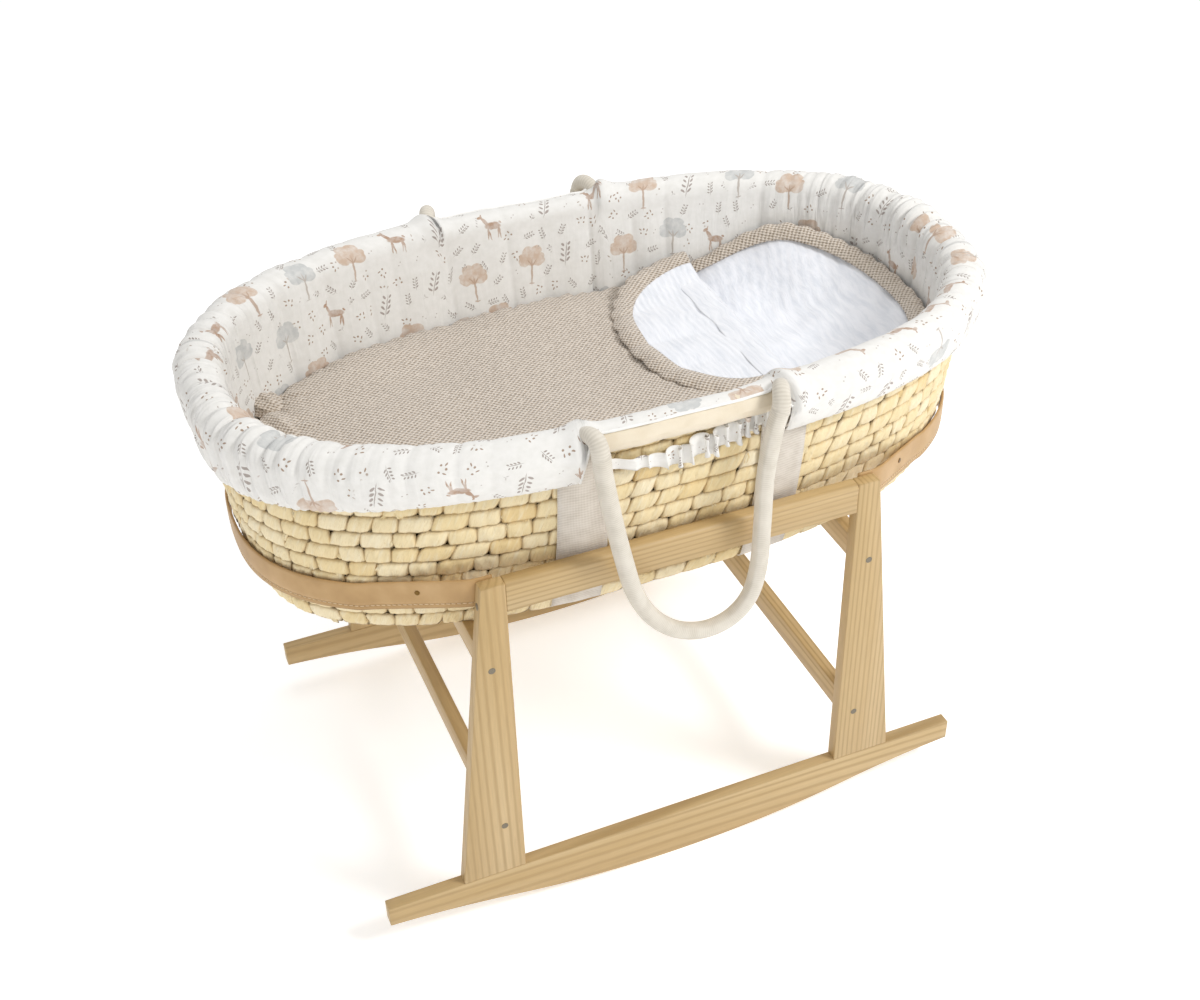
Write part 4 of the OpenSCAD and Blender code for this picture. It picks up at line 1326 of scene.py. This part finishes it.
def handle_loop(name, face):
    line_points = loop_line * np.array([1, -face, 1])
    rings = tube_points(line_points, handle_r - 0.0004, handle_sides, start_up=(1, 0, 0))
    centre = line_points[:, None]
    turn = np.linspace(0, 2 * math.pi, handle_sides, endpoint=False)
    seam = np.exp(-((np.angle(np.exp(1j * (turn - math.radians(40)))) / 0.16) ** 2))
    waver = 1 + 0.004 * np.sin(np.linspace(0, 31, len(line_points)))[:, None]
    rings = centre + (rings - centre) * ((1 + 0.075 * seam[None, :]) * waver)[..., None]
    loop = tube_piece(f"{name}_twill_handle", line_points, rings, handle_r, handle_cotton)
    finish_piece(loop, f"{name}_handle", "handle_twill", f"{name}_handle_cover", f"{name}_handle_rope")
    return float(run_along(line_points)[-1])


print("handles hang", round(handle_loop("front", -1), 3), round(handle_loop("rear", 1), 3), "m round their loops")

# %% Handle roots
handle_top_z = 0.5985


def handle_root(name, face, x_top, lean):
    """A bent end of the handle, from the loop's top over the bound rim and down inside it."""
    hand = math.copysign(1, x_top)
    bends = [(0, 0, 0, handle_top_z - 0.004), (0.3, 0, 0.0015, 0.6050), (0.8, 0, 0.0075, 0.6120),
             (1.5, 0.001, 0.0165, 0.6120), (2.2, 0.002, 0.0250, 0.6050), (2.5, 0.003, 0.0300, 0.5930)]
    line_points = smooth_line([(x_top + lean * k + hand * aside, -handle_y + inward, z)
                               for k, aside, inward, z in bends], 40) * np.array([1, -face, 1])
    thins = [handle_r - 0.0003, handle_r - 0.0006, 0.0078, 0.0055]
    radii = np.interp(np.linspace(0, 1, 40), [0, 0.25, 0.7, 1], thins)
    rings = tube_points(line_points, radii, handle_sides, start_up=(1, 0, 0))
    root = tube_piece(f"{name}_handle_root_{sides_of(side=x_top)[0]}", line_points, rings, float(np.max(radii)),
                      handle_cotton)
    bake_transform(root)


for name, face in (("front", -1), ("rear", 1)):
    for x_top, lean in ((-0.100, -0.0035), (0.084, 0.0045)):
        handle_root(name, face, x_top, lean)
print("handle roots made")

# %% [markdown]
# ## Bedding
# A mattress in a white cotton cover, and on it a quilt: a knitted lower layer lined with muslin and a knitted upper
# layer that is folded back at the head, so that its muslin lining and its scalloped border show. Each padded layer
# is a plump pad over the outline of the basket's inside. Its edge is pulled in by the stitches of its seam, which
# makes the small puckers, and its top keeps the slow waves of a cloth that was smoothed by hand. Moss stitch is a
# chessboard of small bumps, so it is drawn that way, as bump and as colour; the colour darkens in the hollows
# between the bumps as painted shade.

# %% Knit and muslin
def moss_knit(name, light, mid, dark, pitch=(0.0062, 0.0056)):
    """Moss stitch, whose chessboard of bumps repeats every pitch metres, so a stitch is about 3 mm."""
    material, add, shader = new_material(name, 0.95, Sheen_Weight=0.45, Sheen_Roughness=0.6,
                                         Specular_IOR_Level=0.1)
    place = add("TexCoord", out="Object")
    drift = add("TexNoise", {"Vector": place, "Scale": 14.0}, out="Color")
    bent = add("VectorMath", {0: drift, 1: (0.006, 0.006, 0), 2: place}, operation="MULTIPLY_ADD")
    parts = add("SeparateXYZ", {0: bent}).node.outputs
    waves = []
    for axis, length in (("X", pitch[0]), ("Y", pitch[1])):
        skewed = add("Math", {0: parts["Z"], 1: 0.7, 2: parts[axis]}, operation="MULTIPLY_ADD")
        phase = add("Math", {0: skewed, 1: 2 * math.pi / length}, operation="MULTIPLY")
        waves.append(add("Math", {0: phase}, operation="SINE"))
    moss = add("Math", {0: waves[0], 1: waves[1]}, operation="MULTIPLY")
    fibre = add("TexNoise", {"Vector": place, "Scale": 420.0, "Detail": 3.0})
    both = add("Math", {0: moss, 1: 0.45, 2: fibre}, operation="MULTIPLY_ADD")
    # partly painted shade: the colour darkens where the stitches sink; the fibre noise gives the yarn's own flecks
    colour = add("ValToRGB", {"Fac": both}, ramp=[(0.14, dark), (0.47, mid), (0.78, light)])
    bump = add("Bump", {"Height": both, "Strength": 0.9, "Distance": 0.0019})
    plug(shader, {"Base Color": colour, "Normal": bump})
    return material


def crinkled_muslin(name, light, dark):
    """Double gauze, whose crinkles are 5 mm wide and run some 40 mm along Y."""
    material, add, shader = new_material(name, 0.9, Sheen_Weight=0.25, Sheen_Roughness=0.5,
                                         Specular_IOR_Level=0.15)
    place = add("TexCoord", out="Object")
    drift = add("TexNoise", {"Vector": place, "Scale": 22.0}, out="Color")
    bent = add("VectorMath", {0: drift, 1: (0.02, 0.02, 0), 2: place}, operation="MULTIPLY_ADD")
    long_way = add("Mapping", {"Vector": bent, "Scale": (210.0, 26.0, 120.0)})
    crinkle = add("TexNoise", {"Vector": long_way, "Scale": 1.0, "Detail": 3.0, "Roughness": 0.6})
    # painted shade: the colour darkens in the crinkles' hollows
    soft = add("ValToRGB", {"Fac": crinkle}, ramp=[(0.3, dark), (0.6, light)])
    bump = add("Bump", {"Height": crinkle, "Strength": 0.4, "Distance": 0.0020})
    plug(shader, {"Base Color": soft, "Normal": bump})
    return material


knit = moss_knit("beige_cotton_moss_stitch", "#E2D6C7", "#CEC0B0", "#97856F")
muslin = crinkled_muslin("white_cotton_double_gauze", "#EDEEF2", "#DEE1E7")
print("made", knit.name, muslin.name)

# %% A plump pad over an outline
plump_power = 2.2 * 3.2 * 2


def pad_outline(a, b, cut=None, corner=10, count=1440):
    """Points round an oval, in order. cut is the x where it stops at a straight edge with rounded corners."""
    turns, _ = even_turns(a, b, count)
    outline = np.stack(oval(a, b, turns), 1)
    if cut is None:
        return outline[::4]
    keep = np.roll(outline, count // 2, axis=0)
    keep = keep[keep[:, 0] < cut]
    closed = np.concatenate([keep, np.linspace(keep[-1], keep[0], 260)[1:-1], keep[:1]])
    run = run_along(closed)
    return relax_loop(resample(closed, run, np.linspace(0, run[-1], 721)[:-1]), corner)[::2]


def waves_over(x, y, seed, size, length=0.16, count=9):
    """Slow waves over a cloth, from a few random ridges."""
    rng = np.random.default_rng(seed)
    total = np.zeros_like(x)
    for _ in range(count):
        turn, phase = rng.uniform(0, math.pi), rng.uniform(0, 6.3)
        ridge = 2 * math.pi / (length * rng.uniform(0.6, 1.6))
        total += np.sin(ridge * (x * math.cos(turn) + y * math.sin(turn)) + phase)
    return size * total / math.sqrt(count)


def pad(name, outline, centre, low, high, seed, material, wave=0.0016, pucker=0.0012, top_rows=44):
    """A closed pad: bottom, a round edge and top, with seam puckers at its edge and slow waves on its top."""
    centre, half, middle = np.array(centre), (high - low) / 2, (high + low) / 2
    puckers = soft_noise(seed, len(outline), [(61, 0.5), (83, 0.5), (107, 0.4), (19, 0.4)])
    edge = 1 - 0.1 * np.cos(np.linspace(0, math.pi / 2, 8)) ** 2.0
    shares = np.concatenate([np.linspace(0.04, 0.9, 10), edge, [1.0], edge[::-1],
                             np.linspace(0.9, 0.02, top_rows)])
    sign = np.concatenate([-np.ones(18), [0.0], np.ones(8 + top_rows)])
    out = (outline - centre) / np.linalg.norm(outline - centre, axis=1)[:, None]
    rows = []
    for share, side in zip(shares, sign):
        plump = (1 - share ** plump_power) ** 0.5 if share < 1 else 0.0
        spot = centre + (outline - centre) * share
        z = np.full(len(outline), middle + side * half * plump)
        if side > 0:
            near_edge = share**12 * (0.25 + 0.75 * plump)
            z = z + waves_over(spot[:, 0], spot[:, 1], seed, wave) * plump + puckers * pucker * near_edge * 2
        spot = spot + out * (puckers * pucker * share**20)[:, None]
        rows.append(np.stack([spot[:, 0], spot[:, 1], z], -1))
    obj = grid_piece(name, np.array(rows), material, closed=True)
    close_ends(obj)
    return obj


mattress_low, mattress_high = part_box("mattress")
mattress = pad("padded_mattress", pad_outline(0.372, 0.181), (0, 0), mattress_low.z, mattress_high.z + 0.0003,
               51, cover_cotton, wave=0.0008, pucker=0.0006)
finish_piece(mattress, "mattress_pad", "mattress_cover", "mattress")

under_low, under_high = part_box("quilt_under_layer")
under = pad("quilt_lower_layer", pad_outline(0.374, 0.187), (0, 0), under_low.z + 0.0005, under_high.z - 0.0016,
            52, knit, wave=0.0006, pucker=0.0008)
finish_piece(under, "quilt", "beige_knit", "quilt_under_layer")

over_low, over_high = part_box("quilt_over_layer")
over_outline = pad_outline(0.374, 0.191, cut=0.186, corner=30)
over_outline[:, 0] = np.maximum(over_outline[:, 0], -0.327)
over_outline = relax_loop(over_outline, 14)
over = pad("quilt_upper_layer", over_outline, (-0.08, 0), over_low.z - 0.002, over_high.z + 0.0005, 53, knit,
           wave=0.0022, pucker=0.0016, top_rows=60)
finish_piece(over, "quilt", "beige_knit", "quilt_over_layer")

# %% Gathered corners at the foot of the quilt
def corner_lump(name, x, y, z, long_r, wide_r, high_r, turn, seed):
    """A small padded corner with folds that run to its seam."""
    rng = np.random.default_rng(seed)
    rows, columns = 26, 60
    u = np.linspace(0.02, math.pi - 0.02, rows)[:, None]
    v = np.linspace(0, 2 * math.pi, columns, endpoint=False)[None, :]
    fold = 1 + 0.09 * np.sin(7 * v + rng.uniform(0, 6)) * np.sin(u) ** 2 + 0.04 * np.sin(15 * v + 2)
    px = -np.cos(u) * long_r * np.ones_like(v)
    py = np.sin(u) ** 0.8 * np.cos(v) * wide_r * fold
    pz = np.sin(u) ** 0.8 * np.sin(v) * high_r * fold
    angle = math.radians(turn)
    points = np.stack([x + px * math.cos(angle) - py * math.sin(angle),
                       y + px * math.sin(angle) + py * math.cos(angle), z + pz], -1)
    lump = grid_piece(name, points, knit, closed=True)
    close_ends(lump)
    finish_piece(lump, "quilt", "beige_knit")


corner_lump("quilt_foot_corner_near", -0.330, 0.060, 0.4945, 0.034, 0.019, 0.0135, -70, 61)
corner_lump("quilt_foot_corner_far", -0.337, 0.112, 0.4970, 0.026, 0.017, 0.0125, -66, 62)

# %% Muslin and its knitted border at the head
def head_height(share, turn, x):
    """The lining dips in the middle and climbs the liner at its edge, most of all at the far side."""
    climb = (0.046 + 0.030 * np.exp(-((turn - 0.85) / 0.5) ** 2)) * (0.2 + 0.8 * between(x, 0.16, 0.31))
    return 0.4868 + climb * between(share, 0.70, 1.04) ** 1.15


def head_grid(first, last, rows, columns=220, widest=66):
    turn = np.radians(np.linspace(-widest, widest, columns))
    share = np.linspace(first, last, rows)[:, None]
    edge_x, edge_y = oval(0.3765, 0.1935, turn)
    return share * edge_x[None, :], share * edge_y[None, :], share, turn[None, :]


x, y, share, turn = head_grid(0.30, 0.975, 90)
z = head_height(share, turn, x) + waves_over(x, y, 71, 0.0022, 0.07) * between(share, 0.3, 0.5)
z += 0.0005 * np.sin(x * 520 + 6 * np.sin(y * 30)) * between(share, 0.5, 0.9)
muslin_points = np.stack([x, y, z], -1)
head_muslin = grid_piece("head_end_muslin", muslin_points, muslin)
thicken(head_muslin, 0.0012)
finish_piece(head_muslin, "quilt", "white_muslin", "under_muslin")
area_of(muslin_points)

x, y, share, turn = head_grid(0.958, 1.0, 12)
across_share = (share - 0.958) / 0.042
ripple = 0.0016 * np.sin(np.linspace(0, 150, 220))[None, :] * across_share
rim_curl = 0.0055 * np.sin(np.pi * np.clip(across_share, 0, 1)) + 0.003
border_points = np.stack([x, y, head_height(share, turn, x) + rim_curl + ripple], -1)
head_border = grid_piece("head_end_knitted_border", border_points, knit)
thicken(head_border, 0.0042)
finish_piece(head_border, "quilt", "beige_knit", "head_trim")
area_of(border_points)

# %% The folded flap: knitted back, muslin lining and scalloped border
flap_x, flap_y, flap_depth, flap_half = 0.184, 0.034, 0.132, 0.144
flap_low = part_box("flap_knit")[0].z


def flap_grid(first, last, rows, columns=260, scallop=0.0):
    turn = np.linspace(math.pi / 2, 1.5 * math.pi, columns)
    share = np.linspace(first, last, rows)[:, None]
    lobes = scallop * np.abs(np.sin(turn * 17))[None, :] * (share - first) / (last - first)
    x = flap_x + (flap_depth * share + lobes) * np.sign(np.cos(turn)) * np.abs(np.cos(turn)) ** 0.86
    y = flap_y + (flap_half * share + lobes) * np.sign(np.sin(turn)) * np.abs(np.sin(turn)) ** 0.86
    return x, y, np.broadcast_to(share, (rows, columns)), turn[None, :]


def flap_rise(x, y, share):
    """The flap lies on the quilt and lifts a little where it was folded."""
    fold = np.exp(-((flap_x - x) / 0.03) ** 2)
    against_wall = 0.013 * between(y, 0.11, 0.18)
    waves = np.abs(waves_over(x, y, 81, 0.0016, 0.11)) * between(share, 0.0, 0.2)
    return flap_low + 0.0006 + 0.004 * fold + against_wall + waves


x, y, share, turn = flap_grid(0.0, 0.97, 60)
back_points = np.stack([x, y, flap_rise(x, y, share)], -1)
flap_back = grid_piece("flap_knitted_back", back_points[::-1], knit)
thicken(flap_back, 0.0030, offset=1)
finish_piece(flap_back, "flap", "beige_knit", "flap_knit")
area_of(back_points)

x, y, share, turn = flap_grid(0.0, 0.875, 90)
crinkles = 0.0003 * np.sin(x * 900 + 5 * np.sin(y * 24)) * between(share, 0.05, 0.2)
lining_points = np.stack([x, y, flap_rise(x, y, share) + 0.0046 + crinkles], -1)
flap_lining = grid_piece("flap_muslin_lining", lining_points[::-1], muslin)
thicken(flap_lining, 0.0010)
finish_piece(flap_lining, "flap", "white_muslin", "flap_muslin")
area_of(lining_points)

x, y, share, turn = flap_grid(0.84, 1.0, 14, columns=520, scallop=0.0028)
across_share = (share - 0.84) / 0.16
roll = 0.0056 + 0.0020 * np.sin(np.pi * across_share) - 0.0042 * across_share**3
rib = 0.0004 * np.sin(turn * 34 * 2 + across_share * 4) * across_share
border_points = np.stack([x, y, flap_rise(x, y, share) + roll + rib], -1)
flap_border = grid_piece("flap_scalloped_border", border_points[::-1], knit)
thicken(flap_border, 0.0032)
finish_piece(flap_border, "flap", "beige_knit", "flap_trim")
area_of(border_points)

# %% Muslin rolled round the fold
fold_line = smooth_line([(x + flap_x, 0, z) for x, z in (
    (-0.018, 0.4870), (-0.002, 0.4876), (0.0085, 0.4945), (0.0105, 0.5040), (0.0060, 0.5145), (-0.0040, 0.5205),
    (-0.0180, 0.5195), (-0.0280, 0.5178))], 44)
fold_columns, fold_half = 150, flap_half * 0.93
fold_y = np.linspace(flap_y - fold_half, flap_y + fold_half, fold_columns)
fold_points = np.repeat(fold_line[:, None, :], fold_columns, 1)
fold_points[..., 1] = fold_y[None, :]
sag = waves_over(fold_points[..., 0], fold_points[..., 1], 91, 0.0011, 0.05)
ends_in = (np.abs(fold_y - flap_y) / fold_half)[None, :] ** 8
fold_points[..., 0] += sag - 0.010 * ends_in * (fold_points[..., 0] - flap_x + 0.018) / 0.028
fold = grid_piece("muslin_rolled_round_fold", fold_points[:, ::-1], muslin)
thicken(fold, 0.0010)
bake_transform(fold)
float(run_along(fold_line)[-1])
print("bedding made")
